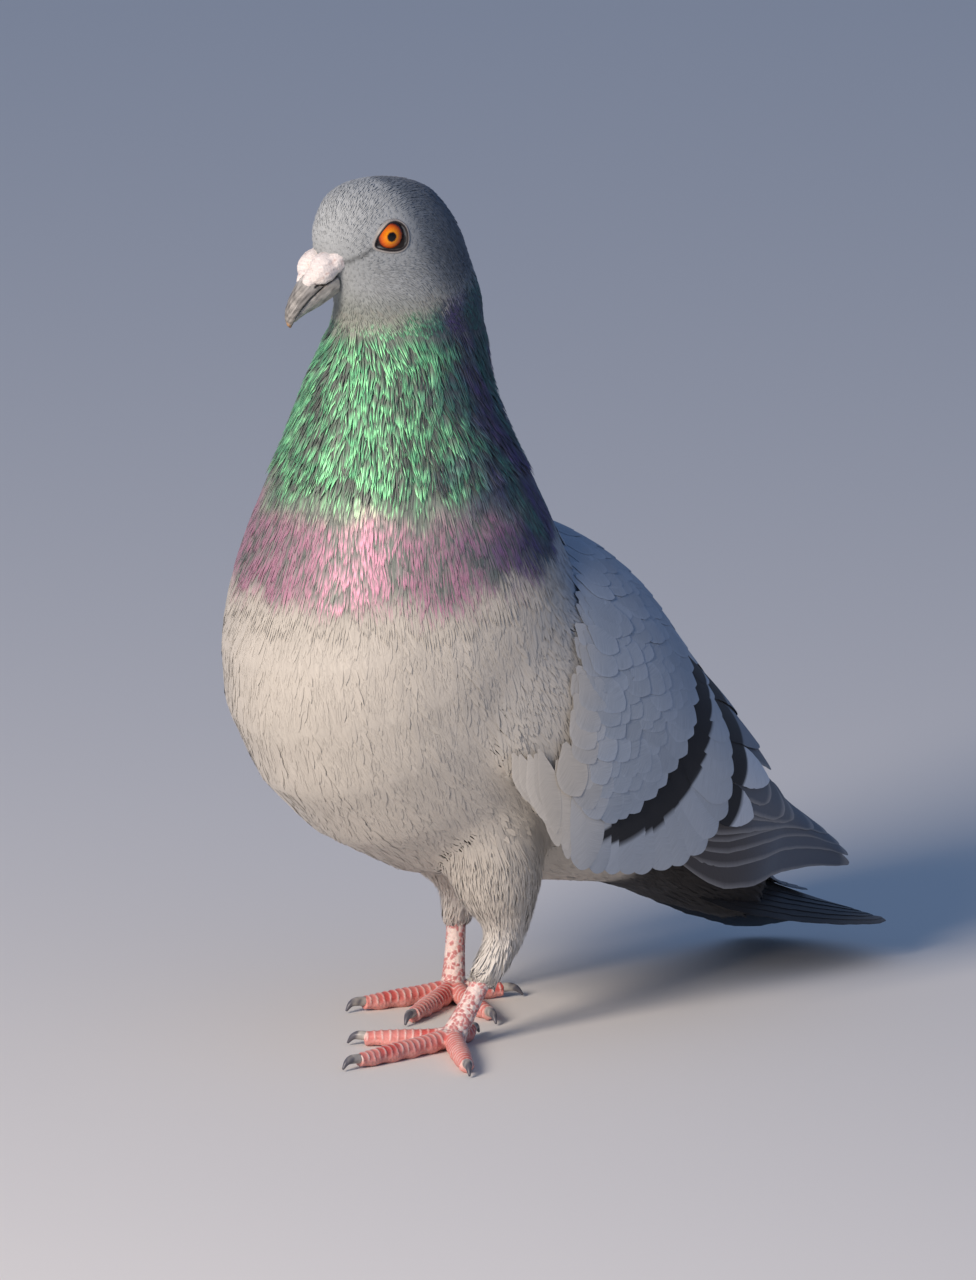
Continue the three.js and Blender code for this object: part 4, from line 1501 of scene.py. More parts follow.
    def build(self) -> None:
        """Lays every feather of the wing."""
        mirror, name = self.side.value, self.side.label
        flight, tertial = (
            np.array([(*self.form.spot(r, rh), *self.form.spot(a, h), *rest) for r, rh, a, h, *rest in table])
            for table in (self.FLIGHT, self.TERTIALS)
        )
        shape = VaneShape(rows=34, columns=11, lift=(-0.3, -0.1), tip_from=0.88, tip_end=0.62, quill=0.3,
                          slant=2.5, round_by=0.32, tilt=0.12, ragged=0.01, thick=0.18, softness=0.65)
        sag = np.interp(np.arange(len(flight)), [0, 4, 9], [0.5, 0.8, 4.6])
        vanes = Vanes(shape, flight[:, :2], flight[:, 2:4], flight[:, 4], sag, flight[:, 5], self.seed + 5)
        piece = join_vanes(f"{name}_flight_feathers", [vanes.lay(self.shell, mirror, self.flight_colour)])
        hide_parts(f"{name}_primaries")
        ride_root(piece, FLIGHT_VANE.material(), "flight_feather")
        shape = VaneShape(rows=40, columns=11, lift=(-0.5, 0.1), tip_from=0.72, quill=0.3, ragged=0.015)
        vanes = Vanes(shape, tertial[:, :2], tertial[:, 2:4], tertial[:, 4], np.full(len(tertial), 0.5),
                      np.linspace(0.25, 0, len(tertial)), self.seed + 6)
        parts = [vanes.lay(self.shell, mirror, self.tertial_colour)]
        tips, share = self.greater.spaced(6.4)
        shape = VaneShape(rows=36, columns=9, lift=(-0.4, 0.25), tip_from=0.75, tip_end=0.3, round_by=0.22,
                          tilt=0.12, ragged=0.012)
        vanes = self.row(shape, tips[share < self.BROAD_TO], 34, 6.0, 7, jitter=0.03)
        parts.append(vanes.lay(self.shell, mirror, self.greater_colour))
        tips, share = self.greater.spaced(3.2)
        shape = VaneShape(rows=20, columns=7, lift=(-0.2, 0.45), tip_from=0.35, tip_end=0.1, ragged=0.012,
                          tilt=0.05, camber=0.12, thick=0.06, softness=0.85, gather=1.6)
        vanes = self.row(shape, tips[share >= self.SMALL_FROM], 24, 3.4, 11)
        parts.append(vanes.lay(self.shell, mirror, self.covert_colour))
        tips, _ = self.coverts.spaced(5.2)
        tips = tips[self.front(tips) < 0.9]
        shape = VaneShape(rows=16, columns=9, lift=(0.1, 0.75), tip_from=0.6, tip_end=0.1, ragged=0.01,
                          tilt=0.05, camber=0.12, thick=0.06, softness=0.85, gather=1.8)
        vanes = self.row(shape, tips, 17, 5.0, 8)
        parts.append(vanes.lay(self.shell, mirror, self.covert_colour))
        shape = VaneShape(rows=13, columns=7, lift=(0.15, 0.6), tip_from=0.5, tip_end=0.1, ragged=0.03,
                          tilt=0.02, camber=0.05, thick=0.04, softness=0.95, gather=1.8)
        vanes = self.row(shape, self.field(), 14.5, 4.4, 9, jitter=0.09)
        parts.append(vanes.lay(self.shell, mirror, self.covert_colour))
        piece = join_vanes(f"{name}_coverts", parts)
        ride_root(piece, COVERT_VANE.material(), "wing_feather")

    def field(self) -> Array:
        """Staggered places for the tips of the lesser coverts."""
        random = np.random.default_rng(self.seed + 10)
        places = []
        for step, along in enumerate(np.arange(-70.0, 8.0, 4.6)):
            shift = 2.8 * (step % 2)
            places += [(along, down + shift) for down in np.arange(4.0, 132.0, 5.6)]
        tips = np.array(places) + random.normal(0, 0.5, (len(places), 2))
        ahead = self.coverts.past(tips) < -3.5
        top, low = self.form.edges(tips[:, 0])
        inside = (tips[:, 1] > top + 2) & (tips[:, 1] < low + 1.0)
        return tips[ahead & inside & (tips[:, 0] > -52) & (self.front(tips) < 0.75)]

    def lie(self, places: Array) -> Array:
        """The direction in space that feathers point at places on the left wing."""
        step = headings(np.radians(self.slopes(places)))
        return unit(self.shell.at(places + step)[0] - self.shell.at(places - step)[0])

    def under_colour(self, places: Array) -> Array:
        """The colours of the skin under the wing's feathers."""
        # Pale to the front, partly painted light.
        colour = mixed(linear(self.ink.covert), linear(self.ink.pale), self.front(places))
        past = self.coverts.past(places)
        bar = (past > -1) * smoothstep(1, -1, self.bar_end.past(places)) * (places[:, 0] > -20)
        colour = mixed(colour, linear(self.ink.bar), bar)
        behind = smoothstep(-1, 3, self.greater.past(places)) * (places[:, 0] > -20)
        return mixed(colour, linear(self.ink.dusky), behind)


@dataclass
class Tail:
    """Twelve folded tail feathers, with the pale streaked coverts over their roots."""

    root_y: float = 32.27
    root_z: float = 43.5
    slope: float = math.radians(23.6)
    length: float = 85.0
    fan: float = math.radians(9.5)
    roll: float = 0.2
    dark: str = "#1f1c1b"
    band: str = "#151416"
    grey: str = "#2c2d30"

    def shell(self) -> Shell:
        """The sheet that the tail feathers lie on: a roof, steeper at its root.

        Down is across the tail, from right to left.
        """
        along = np.arange(-30.0, 100.0, 2.0)
        across = np.arange(-40.0, 40.0, 1.0)
        a, x = np.meshgrid(along, across, indexing="ij")
        sink = np.interp(a, [-30, 0, 83], [1.2, 0.95, 0.1]) * (np.sqrt(x**2 + 9) - 3)
        sink = sink - np.interp(a, [10, 83], [0, self.roll]) * x
        y = self.root_y + a * math.cos(self.slope) - 0.2 * sink
        z = self.root_z - a * math.sin(self.slope) - sink
        shell = Shell(along, across, np.stack([x, y, z], axis=-1))
        if shell.normals[0, 0, 2] < 0:
            shell.normals = -shell.normals
        return shell

    def colour(self, centre: Array, across: Array, t: Array, which: Array) -> Array:
        """Grey feathers that darken to a broad band at the end."""
        band = smoothstep(0.55, 0.66, t)
        colour = mixed(linear(self.grey), linear(self.band), band)
        edge = smoothstep(0.88, 0.98, np.abs(across))
        return mixed(colour, linear(self.dark) * 1.6, edge * 0.6)

    def build(self) -> None:
        """Lays the twelve feathers, the middle pair on top."""
        shell = self.shell()
        random = np.random.default_rng(31)
        order = np.arange(-6, 6) + 0.5
        count, outer = len(order), order[-1]
        turn = self.fan * order / outer
        root = np.stack([np.full(count, -2.0), order * 1.1], axis=1)
        reach = self.length * (1 - 0.05 * (order / outer) ** 2) + random.normal(0, 0.6, count)
        tip = np.stack([np.zeros(count), order * 1.3], axis=1) + headings(turn) * reach[:, None]
        shape = VaneShape(rows=30, columns=9, lift=(0.3, 0.3), tip_from=0.9, tip_end=0.45, quill=0.3,
                          round_by=0.25, tilt=0.0, ragged=0.02, thick=0.18, camber=0.35)
        layer = 0.4 - 0.42 * np.abs(order)
        vanes = Vanes(shape, root, tip, np.full(count, 8.6), np.zeros(count), layer, 32)
        piece = join_vanes("tail_feathers", [vanes.lay(shell, 1, self.colour)])
        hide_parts("tail")
        ride_root(piece, TAIL_VANE.material(), "tail_feather")


@dataclass
class Mantle:
    """Feathers over the back, the inner edges of the folded wings and the rump.

    They lie on sheets draped from above; places on a sheet are (towards the tail, to the left).
    """

    nodes: dict[str, bpy.types.Object]
    ink: WingInk = WingInk()

    # Root and tip of the long inner feathers on the left, then half width.
    INNER = (
        (-6, 27, 36, 24, 7.0), (-2, 21, 47, 18.5, 7.0), (0, 15, 56, 13, 7.0), (0, 9, 62, 8, 7.0),
        (-4, 4, 58, 3.5, 6.5),
    )

    def drape(self, names: Sequence[str], along: Array, across: Array, bridge: float) -> Shell:
        """Drapes a sheet over nodes from above.

        Args:
            names: The nodes that it lies on.
            along: Its places towards the tail.
            across: Its places to the left.
            bridge: Half the width of the groove in the middle that it spans.

        Returns:
            The sheet.
        """
        bm = merged_copy(self.nodes, names, 0.0)
        tree = BVHTree.FromBMesh(bm)
        bm.free()
        high = np.full((len(along), len(across)), np.nan)
        for row, y in enumerate(along):
            for column, x in enumerate(across):
                hit, _, _, _ = tree.ray_cast(Vector((x * MM, y * MM, 0.3)), Vector((0, 0, -1)))
                high[row, column] = hit.z / MM if hit is not None else np.nan
            known = ~np.isnan(high[row])
            if known.any():
                high[row] = np.interp(across, across[known], high[row, known])
            else:
                high[row] = 2 * high[row - 1] - high[row - 2]
        inner = np.abs(across) < bridge
        if inner.any():
            edge = high[:, np.argmin(np.abs(across - bridge))]
            level = edge[:, None] - 0.012 * (bridge - np.abs(across[inner])) ** 2
            high[:, inner] = np.maximum(high[:, inner], level)
        for _ in range(3):
            near = np.pad(high, 1, mode="edge")
            high = (near[:-2, 1:-1] + near[2:, 1:-1] + near[1:-1, :-2] + near[1:-1, 2:] + 2 * high) / 6
        y, x = np.meshgrid(along, across, indexing="ij")
        return Shell(along, across, np.stack([x, y, high], axis=-1))

    def back_colour(self, centre: Array, across: Array, t: Array, which: Array) -> Array:
        """Blue-grey feathers with faint pale edges."""
        colour = np.broadcast_to(linear(self.ink.back), (len(t), 3))
        colour = mixed(colour, colour * 1.12, smoothstep(0.8, 1.0, np.maximum(t, np.abs(across))))
        return colour * feather_tones(which, 41, 0.03)

    def inner_colour(self, centre: Array, across: Array, t: Array, which: Array) -> Array:
        """Long inner wing feathers: grey with two dark bars, and a grey end."""
        y = centre[:, 0] - 0.35 * np.abs(centre[:, 1])
        colour = np.broadcast_to(linear(self.ink.covert), (len(t), 3))
        first = smoothstep(-1.0, -0.2, y) * smoothstep(7.2, 6.4, y)
        second = smoothstep(18.0, 18.8, y) * smoothstep(30.2, 29.4, y)
        colour = mixed(colour, linear(self.ink.tertial), smoothstep(30, 31, y))
        return mixed(colour, linear(self.ink.bar), np.maximum(first, second))

    def rump_colour(self, centre: Array, across: Array, t: Array, which: Array) -> Array:
        """Upper tail coverts: grey, streaked darker."""
        streak = 0.5 + 0.5 * np.sin(centre[:, 1] * 2.2 + across * 3 + which * 1.7)
        colour = mixed(linear(self.ink.rump), linear(self.ink.rump_streak), streak)
        return mixed(colour, linear(self.ink.rump_tip), smoothstep(0.85, 1.0, t) * 0.5)

    def rows(self, along: Array, spacing: float, reach: tuple[Sequence[float], Sequence[float]]) -> Array:
        """Staggered tips in rows across the back, as far out as reach tells for places along it."""
        random = np.random.default_rng(42)
        tips = []
        for step, y in enumerate(along):
            for x in np.arange(spacing / 2 * (step % 2), np.interp(y, *reach), spacing):
                tips += [(y, mark * x) for mark in ((1, -1) if x else (1,))]
        return np.array(tips) + random.normal(0, 0.5, (len(tips), 2))

    def field(self, shape: VaneShape, tips: Array, length: float, half: float, layer: float) -> Vanes:
        """Feathers of one size with their tips at given places."""
        root = tips + np.stack([np.full(len(tips), -length), tips[:, 1] * 0.06], axis=1)
        count = len(tips)
        return Vanes(shape, root, tips, np.full(count, half), np.zeros(count), np.full(count, layer), 43)

    def build(self) -> None:
        """Lays the back's feathers, the inner wing feathers and the tail's upper coverts."""
        wings = ("trunk", "left_wing", "right_wing")
        shell = self.drape(wings, np.arange(-52.0, 74.0, 2.0), np.arange(-36.0, 37.0, 2.0), 12.0)
        inner = np.array([(y, mark * x, end, mark * to, half)
                          for y, x, end, to, half in self.INNER for mark in (1, -1)], float)
        shape = VaneShape(rows=40, columns=9, lift=(0.2, 0.7), tip_from=0.75, tip_end=0.3, quill=0.3,
                          tilt=0.0, ragged=0.012)
        layer = np.repeat(np.linspace(-0.2, 0.7, len(self.INNER)), 2)
        vanes = Vanes(shape, inner[:, :2], inner[:, 2:4], inner[:, 4], np.zeros(len(inner)), layer, 44)
        parts = [vanes.lay(shell, 1, self.inner_colour)]
        shape = VaneShape(rows=16, columns=9, lift=(-1.4, 0.5), tip_from=0.55, tip_end=0.12, tilt=0.0,
                          camber=0.15, thick=0.08, softness=0.85, gather=1.7)
        tips = self.rows(np.arange(-11.0, 16.0, 4.5), 6.5, ((-11, 0, 16), (27, 26, 15)))
        parts.append(self.field(shape, tips, 13.0, 5.2, 1.0).lay(shell, 1, self.back_colour))
        piece = join_vanes("back_feathers", parts)
        ride_root(piece, COVERT_VANE.material(), "wing_feather")
        shell = self.drape(("trunk", "tail"), np.arange(30.0, 104.0, 2.0), np.arange(-22.0, 23.0, 2.0), 0.0)
        shape = VaneShape(rows=18, columns=9, lift=(0.2, 0.9), tip_from=0.6, tip_end=0.12, tilt=0.0,
                          thick=0.1, softness=0.6, gather=1.6)
        tips = self.rows(np.arange(56.0, 94.0, 4.5), 5.0, ((56, 74, 94), (13, 11, 5)))
        parts = [self.field(shape, tips, 16.0, 4.2, 0.2).lay(shell, 1, self.rump_colour)]
        piece = join_vanes("rump_feathers", parts)
        ride_root(piece, TAIL_VANE.material(), "tail_feather")


# ---- Bill, eyes and feet ----
@dataclass(frozen=True)
class BareInk:
    """The colours of the bill, the cere and the feet."""

    horn: str = "#98948e"
    horn_streak: str = "#5c5955"
    horn_flake: str = "#c9c5bf"
    horn_below: str = "#b5b0a8"
    horn_tip: str = "#a98258"
    # Painted shade in the nostril's slit and in the gap between the bill's halves.
    nostril: str = "#1d1a19"
    mouth: str = "#2e2a28"
    chalk: str = "#ddd4cf"
    # Painted shade in the cere's pits and at its foot.
    chalk_pit_shade: str = "#c4ada5"
    chalk_foot_shade: str = "#a79c95"
    scute: str = "#cf8078"
    scute_red: str = "#c4524c"
    scute_rim: str = "#e6d5cc"
    scale: str = "#c67f7c"
    scale_dark: str = "#a95a5a"
    sole: str = "#d79088"
    sole_net: str = "#e3aca2"
    claw: str = "#aaa49c"
    claw_worn: str = "#55535a"


BARE = BareInk()


@dataclass(frozen=True)
class PaintedFinish:
    """Horn, scales or bare skin: a painted surface with a fine grain and a soft shine."""

    name: str
    roughness: float
    grain: float = 0.5
    strength: float = 0.25
    mottle: float = 0.12
    stretch: tuple[float, float, float] = (1.0, 1.0, 1.0)
    subsurface: float = 0.0
    specular: float = 0.4

    def material(self) -> bpy.types.Material:
        """Builds the material; grain is its size in millimetres."""
        values = {
            "Roughness": self.roughness, "IOR": 1.54, "Specular IOR Level": self.specular,
            "Subsurface Weight": self.subsurface, "Subsurface Radius": (2 * MM, 0.8 * MM, 0.5 * MM),
        }
        material, tree, shader = blank_material(self.name, values)
        _, grain = Grain(self.stretch, 1 / self.grain, 4.0, self.mottle, 0.6).onto(tree, shader)
        relief = {"Height": grain.outputs["Fac"], "Strength": self.strength, "Distance": 0.3 * MM}
        tree.links.new(node(tree, "ShaderNodeBump", relief).outputs["Normal"], shader.inputs["Normal"])
        return material


@dataclass(frozen=True)
class EyeFinish:
    """A wet eye: a black pupil, a fiery iris that reddens outwards, and a dark rim of painted shadow from the
    lid's edge.
    """

    name: str = "wet_eye"
    stops: tuple[tuple[float, str], ...] = (
        (0.0, "#050404"), (0.195, "#070504"), (0.22, "#8a4a04"), (0.26, "#e98f04"), (0.4, "#dd7002"),
        (0.5, "#c05002"), (0.565, "#862c04"), (0.6, "#25100a"), (0.8, "#140c0a"),
    )

    def material(self) -> bpy.types.Material:
        """Builds the material, which reads the distance from the pupil's middle."""
        values = {"Roughness": 0.25, "IOR": 1.376, "Coat Weight": 0.2, "Coat Roughness": 0.03}
        material, tree, shader = blank_material(self.name, values)
        place = node(tree, "ShaderNodeUVMap", uv_map=VANE)
        split = node(tree, "ShaderNodeSeparateXYZ", {0: place.outputs["UV"]})
        rays = node(tree, "ShaderNodeMapping", {"Vector": place.outputs["UV"], "Scale": (1.5, 26.0, 1.0)})
        noise = node(tree, "ShaderNodeTexNoise", {"Vector": rays.outputs["Vector"], "Scale": 2.0})
        span = {"Value": noise.outputs["Fac"], 1: 0.2, 2: 0.8, 3: -0.025, 4: 0.025}
        both = {0: split.outputs["X"], 1: node(tree, "ShaderNodeMapRange", span).outputs["Result"]}
        moved = node(tree, "ShaderNodeMath", both, operation="ADD")
        ramp = node(tree, "ShaderNodeValToRGB", {"Fac": moved.outputs[0]})
        band = ramp.color_ramp
        for index, (off, colour) in enumerate(self.stops):
            stop = band.elements[index] if index < 2 else band.elements.new(off)
            stop.position = off
            stop.color = opaque(colour)
        tree.links.new(ramp.outputs["Color"], shader.inputs["Base Color"])
        return material


class EyeOpening:
    """The almond between the lids, drawn as (forward, up) places from the pupil, and the eyeball."""

    MARKS = (
        (5.1, -2.3), (3.3, -3.3), (0.6, -3.9), (-2.1, -3.8), (-3.9, -2.5), (-4.4, 0.0), (-3.7, 2.2),
        (-1.6, 3.6), (0.9, 3.5), (2.9, 2.0), (4.1, 0.2),
    )
    CENTRE = (7.4, -68.03, 229.0)
    BALL = 5.7

    @classmethod
    def outline(cls) -> tuple[Array, Array]:
        """The opening's edge and the directions out of it, (72, 2) each."""
        marks = np.array(cls.MARKS)
        closed = np.concatenate([marks[-2:], marks, marks[:3]])
        share = np.linspace(2, len(marks) + 2, 72, endpoint=False) / (len(closed) - 1)
        edge = np.stack([smooth_values(closed[:, column], share) for column in (0, 1)], axis=1)
        ahead = unit(np.roll(edge, -1, axis=0) - np.roll(edge, 1, axis=0))
        outward = np.stack([ahead[:, 1], -ahead[:, 0]], axis=1)
        if (outward * edge).sum() < 0:
            outward = -outward
        return edge, outward

    @classmethod
    def beyond(cls, points: Array) -> tuple[Array, Array]:
        """How far places on the head lie outside the opening, and how far ahead of the pupil."""
        straight = SPINE.turned(points, backwards=True)
        forward, up = cls.CENTRE[1] - straight[:, 1], straight[:, 2] - cls.CENTRE[2]
        far = np.full(len(points), 20.0)
        close = (np.hypot(forward, up) < 14) & (np.abs(straight[:, 0]) > 5)
        edge, outward = cls.outline()
        gap = np.stack([forward, up], axis=1)[close][:, None] - edge[None]
        length = np.linalg.norm(gap, axis=-1)
        nearest = length.argmin(axis=1)
        side = (gap[np.arange(len(gap)), nearest] * outward[nearest]).sum(axis=1)
        far[close] = length.min(axis=1) * np.sign(side)
        return far, forward

    @classmethod
    def placed(cls, mark: int, out: Array, fu: Array) -> Array:
        """Places in the part's frame from how far out they are and (forward, up)."""
        y, z = cls.CENTRE[1] - fu[:, 0], cls.CENTRE[2] + fu[:, 1]
        return SPINE.turned(np.stack([mark * out, y, z], axis=1))

    @classmethod
    def sheet(cls, tree: BVHTree, mark: int) -> Callable[[Array], Array]:
        """The head's surface round one eye as a smooth bowed sheet.

        Args:
            tree: The head's faces, in millimetres.
            mark: 1 on the left, -1 on the right.

        Returns:
            Gives how far out the sheet is at (forward, up) places.
        """
        ring = np.linspace(0, 2 * math.pi, 24, endpoint=False)
        around = np.concatenate([headings(ring) * radius for radius in (6.6, 8.2)])
        starts = cls.placed(mark, np.full(len(around), 40.0), around)
        ends = cls.placed(mark, np.zeros(len(around)), around)
        heights = []
        for start, end in zip(starts, ends):
            hit, _, _, distance = tree.ray_cast(Vector(start), Vector(end - start).normalized())
            heights.append(40 - distance if hit is not None else 12.0)

        def terms(fu: Array) -> Array:
            """The terms that the surface is fitted with."""
            f, u = fu[:, 0], fu[:, 1]
            return np.stack([np.ones_like(f), f, u, f * f, u * u, f * u], axis=1)

        fitted, *_ = np.linalg.lstsq(terms(around), np.array(heights), rcond=None)
        return lambda fu: terms(fu) @ fitted


@dataclass
class Head:
    """Eyes with their lids, the bill and the cere."""

    nodes: dict[str, bpy.types.Object]
    skin: Surface
    ahead: float = math.radians(9)
    gape: tuple[float, float] = (-77.53, 220.8)
    pitch: float = math.radians(41.4)

    # Rings of the lid: how far out, how much raised, how much it follows the head, and its colour; the dark
    # inner rings are painted shadow of the lid's edge.
    LID = (
        (-0.25, -0.15, 0.0, SOCKET_SHADE), (0.0, 0.06, 0.0, "#1f1917"), (0.28, 0.22, 0.1, "#2f2a28"),
        (0.52, 0.28, 0.35, "#a29b94"), (0.78, 0.2, 0.6, "#8d8b89"), (1.2, -0.1, 0.9, "#777b7e"),
        (2.0, -1.0, 1.0, "#888d90"),
    )
    # Swellings of the cere: along, above, aside, then half sizes the same way.
    LOBES = (
        (2.2, 3.7, 4.4, 4.0, 3.0, 2.6), (9.3, 4.3, 1.5, 4.0, 2.4, 2.4), (5.5, 5.2, 2.6, 4.2, 3.3, 3.2),
    )
    # The slit of the nostril from end to end, and the line where the bill's halves meet, as
    # (along, above) places and as places along with the heights there.
    NOSTRIL = ((4.0, 1.6), (11.5, 2.9))
    MOUTH = ((0, 4, 10, 15, 20, 24), (0.2, 0.5, 1.2, 1.4, 0.7, -0.9))

    def in_bill(self, points: Array) -> Array:
        """Places as (along the mouth line, above it, to the side)."""
        straight = SPINE.turned(points, backwards=True)
        y, z = straight[:, 1] - self.gape[0], straight[:, 2] - self.gape[1]
        cos, sin = math.cos(self.pitch), math.sin(self.pitch)
        return np.stack([-y * cos - z * sin, -y * sin + z * cos, straight[:, 0]], axis=1)

    def from_bill(self, along: Array, above: Array, aside: Array) -> Array:
        """Places in the part's frame from the bill's own."""
        cos, sin = math.cos(self.pitch), math.sin(self.pitch)
        y = self.gape[0] - along * cos - above * sin
        z = self.gape[1] - along * sin + above * cos
        return SPINE.turned(np.stack([aside, y, z], axis=1))

    def eyeball(self, side: Side) -> None:
        """Makes one eyeball, its pole on the pupil."""
        mark = side.value
        centre = SPINE.turned(np.array([EyeOpening.CENTRE]) * (mark, 1, 1))[0]
        gaze = SPINE.turn - mark * self.ahead
        axis = Vector((mark * math.cos(gaze), mark * math.sin(gaze), 0.0))
        turn = Vector((0, 0, 1)).rotation_difference(axis).to_matrix().to_4x4()
        bm = bmesh.new()
        place = Matrix.Translation(Vector(centre) * MM) @ turn
        bmesh.ops.create_uvsphere(
            bm, u_segments=56, v_segments=48, radius=EyeOpening.BALL * MM, matrix=place
        )
        piece = from_bmesh(f"{side.label}_eyeball", bm)
        points, _, _ = mesh_arrays(piece)
        arm = unit(points - centre)
        forward = np.array(Vector((0, -1, 0)) @ turn.to_3x3().transposed())
        cosine = arm @ np.array(axis)
        off = np.sqrt(np.clip(1 - cosine**2, 0, 1)) * EyeOpening.BALL / 6
        off = np.where(cosine < 0, 1.0, off)
        upright = np.arctan2(arm[:, 2], arm @ unit(forward))
        lay_map(piece, VANE, np.stack([off, upright / (2 * math.pi)], axis=1))
        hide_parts(f"{side.label}_eye")
        ride_root(piece, EyeFinish().material(), "eye")

    def lid(self, side: Side) -> None:
        """Makes the bare lid round one eye, from the ball out to under the feathers.

        Args:
            side: Which eye.
        """
        mark = side.value
        outline, outward = EyeOpening.outline()
        sheet = EyeOpening.sheet(self.skin.tree, mark)
        rows, colours = [], []
        for out, up, share_on, tone in self.LID:
            fu = outline + outward * out
            ball = np.sqrt(np.clip(EyeOpening.BALL**2 - (fu**2).sum(axis=1), 4.0, None))
            ball = EyeOpening.CENTRE[0] + ball
            depth = ball * (1 - share_on) + sheet(fu) * share_on + up
            if -0.1 < out < 0.8:
                depth = np.maximum(depth, np.maximum(ball + 0.1 * (out > 0), sheet(fu) + 0.2))
            rows.append((depth, fu))
            colours.append(np.broadcast_to(linear(tone), (len(fu), 3)))
        count = len(outline)
        loops = [EyeOpening.placed(mark, depth, fu) for depth, fu in rows]
        loops += [EyeOpening.placed(mark, depth - 0.3, fu) for depth, fu in rows[::-1]]
        points = np.concatenate(loops)
        faces = []
        for row in range(len(loops)):
            following = (row + 1) % len(loops)
            for k in range(count):
                a, b = row * count + k, row * count + (k + 1) % count
                c, d = following * count + (k + 1) % count, following * count + k
                faces += [(a, b, c), (a, c, d)]
        triangles = np.array(faces)
        first = points[triangles[0]]
        normal = np.cross(first[1] - first[0], first[2] - first[0])
        if normal[0] * mark < 0:
            triangles = triangles[:, ::-1]
        piece = make_mesh(f"{side.label}_lid", points, triangles)
        paint(piece, np.concatenate(colours + colours[::-1]))
        lay_map(piece, VANE, points[:, 1:])
        ride_root(piece, PaintedFinish("lid_skin", 0.6, grain=0.4, mottle=0.2).material(), "slate_feather")

    def horn(self, name: str, upper: bool) -> None:
        """Makes one half of the bill from the solid one, smooth and streaked.

        Args:
            name: The solid's name.
            upper: Whether it is the upper half, which holds the nostril.
        """
        piece = remeshed(f"{name}_horn", merged_copy(self.nodes, (name,), 0.0), 0.32 * MM, 7)
        points, _, normals = mesh_arrays(piece)
        along, above, aside = self.in_bill(points).T
        streaks = np.sin(above * 5.2 + 0.8 * ripple(points, 6, 71))
        streaks = streaks * np.sin(np.abs(aside) * 4.1 + along * 0.12)
        points += normals * (0.05 * streaks * (along > 6))[:, None]
        move_points(piece, points)
        colour = mixed(linear(BARE.horn), linear(BARE.horn_streak), 0.5 + 0.5 * streaks)
        if upper:
            flaky = smoothstep(15.5, 10.5, along) * smoothstep(1.5, 4.5, above)
            rough = 0.5 + 0.5 * ripple(points, 1.6, 72)
            colour = mixed(colour, linear(BARE.horn_flake), flaky * (0.45 + 0.5 * rough))
            # The nostril's slit is painted dark for the shade in its opening.
            _, far = off_segment(np.stack([along, above], axis=1), *self.NOSTRIL)
            colour = mixed(colour, linear(BARE.nostril), smoothstep(0.55, 0.2, far))
        else:
            colour = mixed(colour, linear(BARE.horn_below), 0.55 + 0.35 * ripple(points, 2.2, 73))
        colour = mixed(colour, linear(BARE.horn_tip), smoothstep(23.2, 23.8, along))
        # The line where the halves meet is darkened with painted shade in the gap.
        edge = smoothstep(0.7, 0.1, np.abs(above - np.interp(along, *self.MOUTH)))
        colour = mixed(colour, linear(BARE.mouth), edge * 0.7)
        paint(piece, colour)
        lay_map(piece, VANE, np.stack([along, np.arctan2(aside, above) * 4], axis=1))
        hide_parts(name)
        finish = PaintedFinish(
            "bill_horn", 0.42, grain=0.7, strength=0.35, mottle=0.22, stretch=(0.25, 1.6, 1.0)
        )
        ride_root(piece, finish.material(), "horn")

    def cere(self) -> None:
        """Makes the two swollen lobes over the nostrils, with a chalky grain."""
        bm = merged_copy(self.nodes, ("cere",), 0.0)
        for along, above, side, long, high, wide in self.LOBES:
            for mark in (-1, 1):
                made = bmesh.ops.create_uvsphere(bm, u_segments=16, v_segments=10, radius=1.0)
                local = np.array([vert.co for vert in made["verts"]]) * (long, wide, high)
                local = local + (along, mark * side, above)
                places = self.from_bill(local[:, 0], local[:, 2], local[:, 1])
                for vert, place in zip(made["verts"], places):
                    vert.co = place * MM
        piece = remeshed("cere_lobes", bm, 0.3 * MM, 6)
        points, _, normals = mesh_arrays(piece)
        grains = 0.6 * ripple(points, 1.7, 61) + 0.5 * ripple(points, 0.9, 62)
        points += normals * (0.13 * grains)[:, None]
        move_points(piece, points)
        # Painted shade: darker in the grain's pits and at the foot of the lobes.
        colour = mixed(linear(BARE.chalk), linear(BARE.chalk_pit_shade), smoothstep(0.1, 1.2, -grains))
        _, above, _ = self.in_bill(points).T
        colour = mixed(colour, linear(BARE.chalk_foot_shade), smoothstep(2.0, 0.6, above) * 0.7)
        paint(piece, colour)
        lay_map(piece, VANE, points[:, 1:])
        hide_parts("cere")
        finish = PaintedFinish("chalky_cere", 0.85, grain=0.5, strength=0.6, specular=0.2)
        ride_root(piece, finish.material(), "cere")

    def build(self) -> None:
        """Makes every bare part of the head."""
        for side in Side:
            self.eyeball(side)
            self.lid(side)
        self.horn("upper_bill", True)
        self.horn("lower_bill", False)
        self.cere()


@dataclass(frozen=True)
class Toe:
    """One toe: where it points, its length and its claw's length."""

    name: str
    turn: float
    length: float
    claw: float

    @property
    def heading(self) -> Array:
        """The toe's direction over the floor."""
        angle = math.radians(self.turn)
        return np.array([math.sin(angle), -math.cos(angle), 0.0])


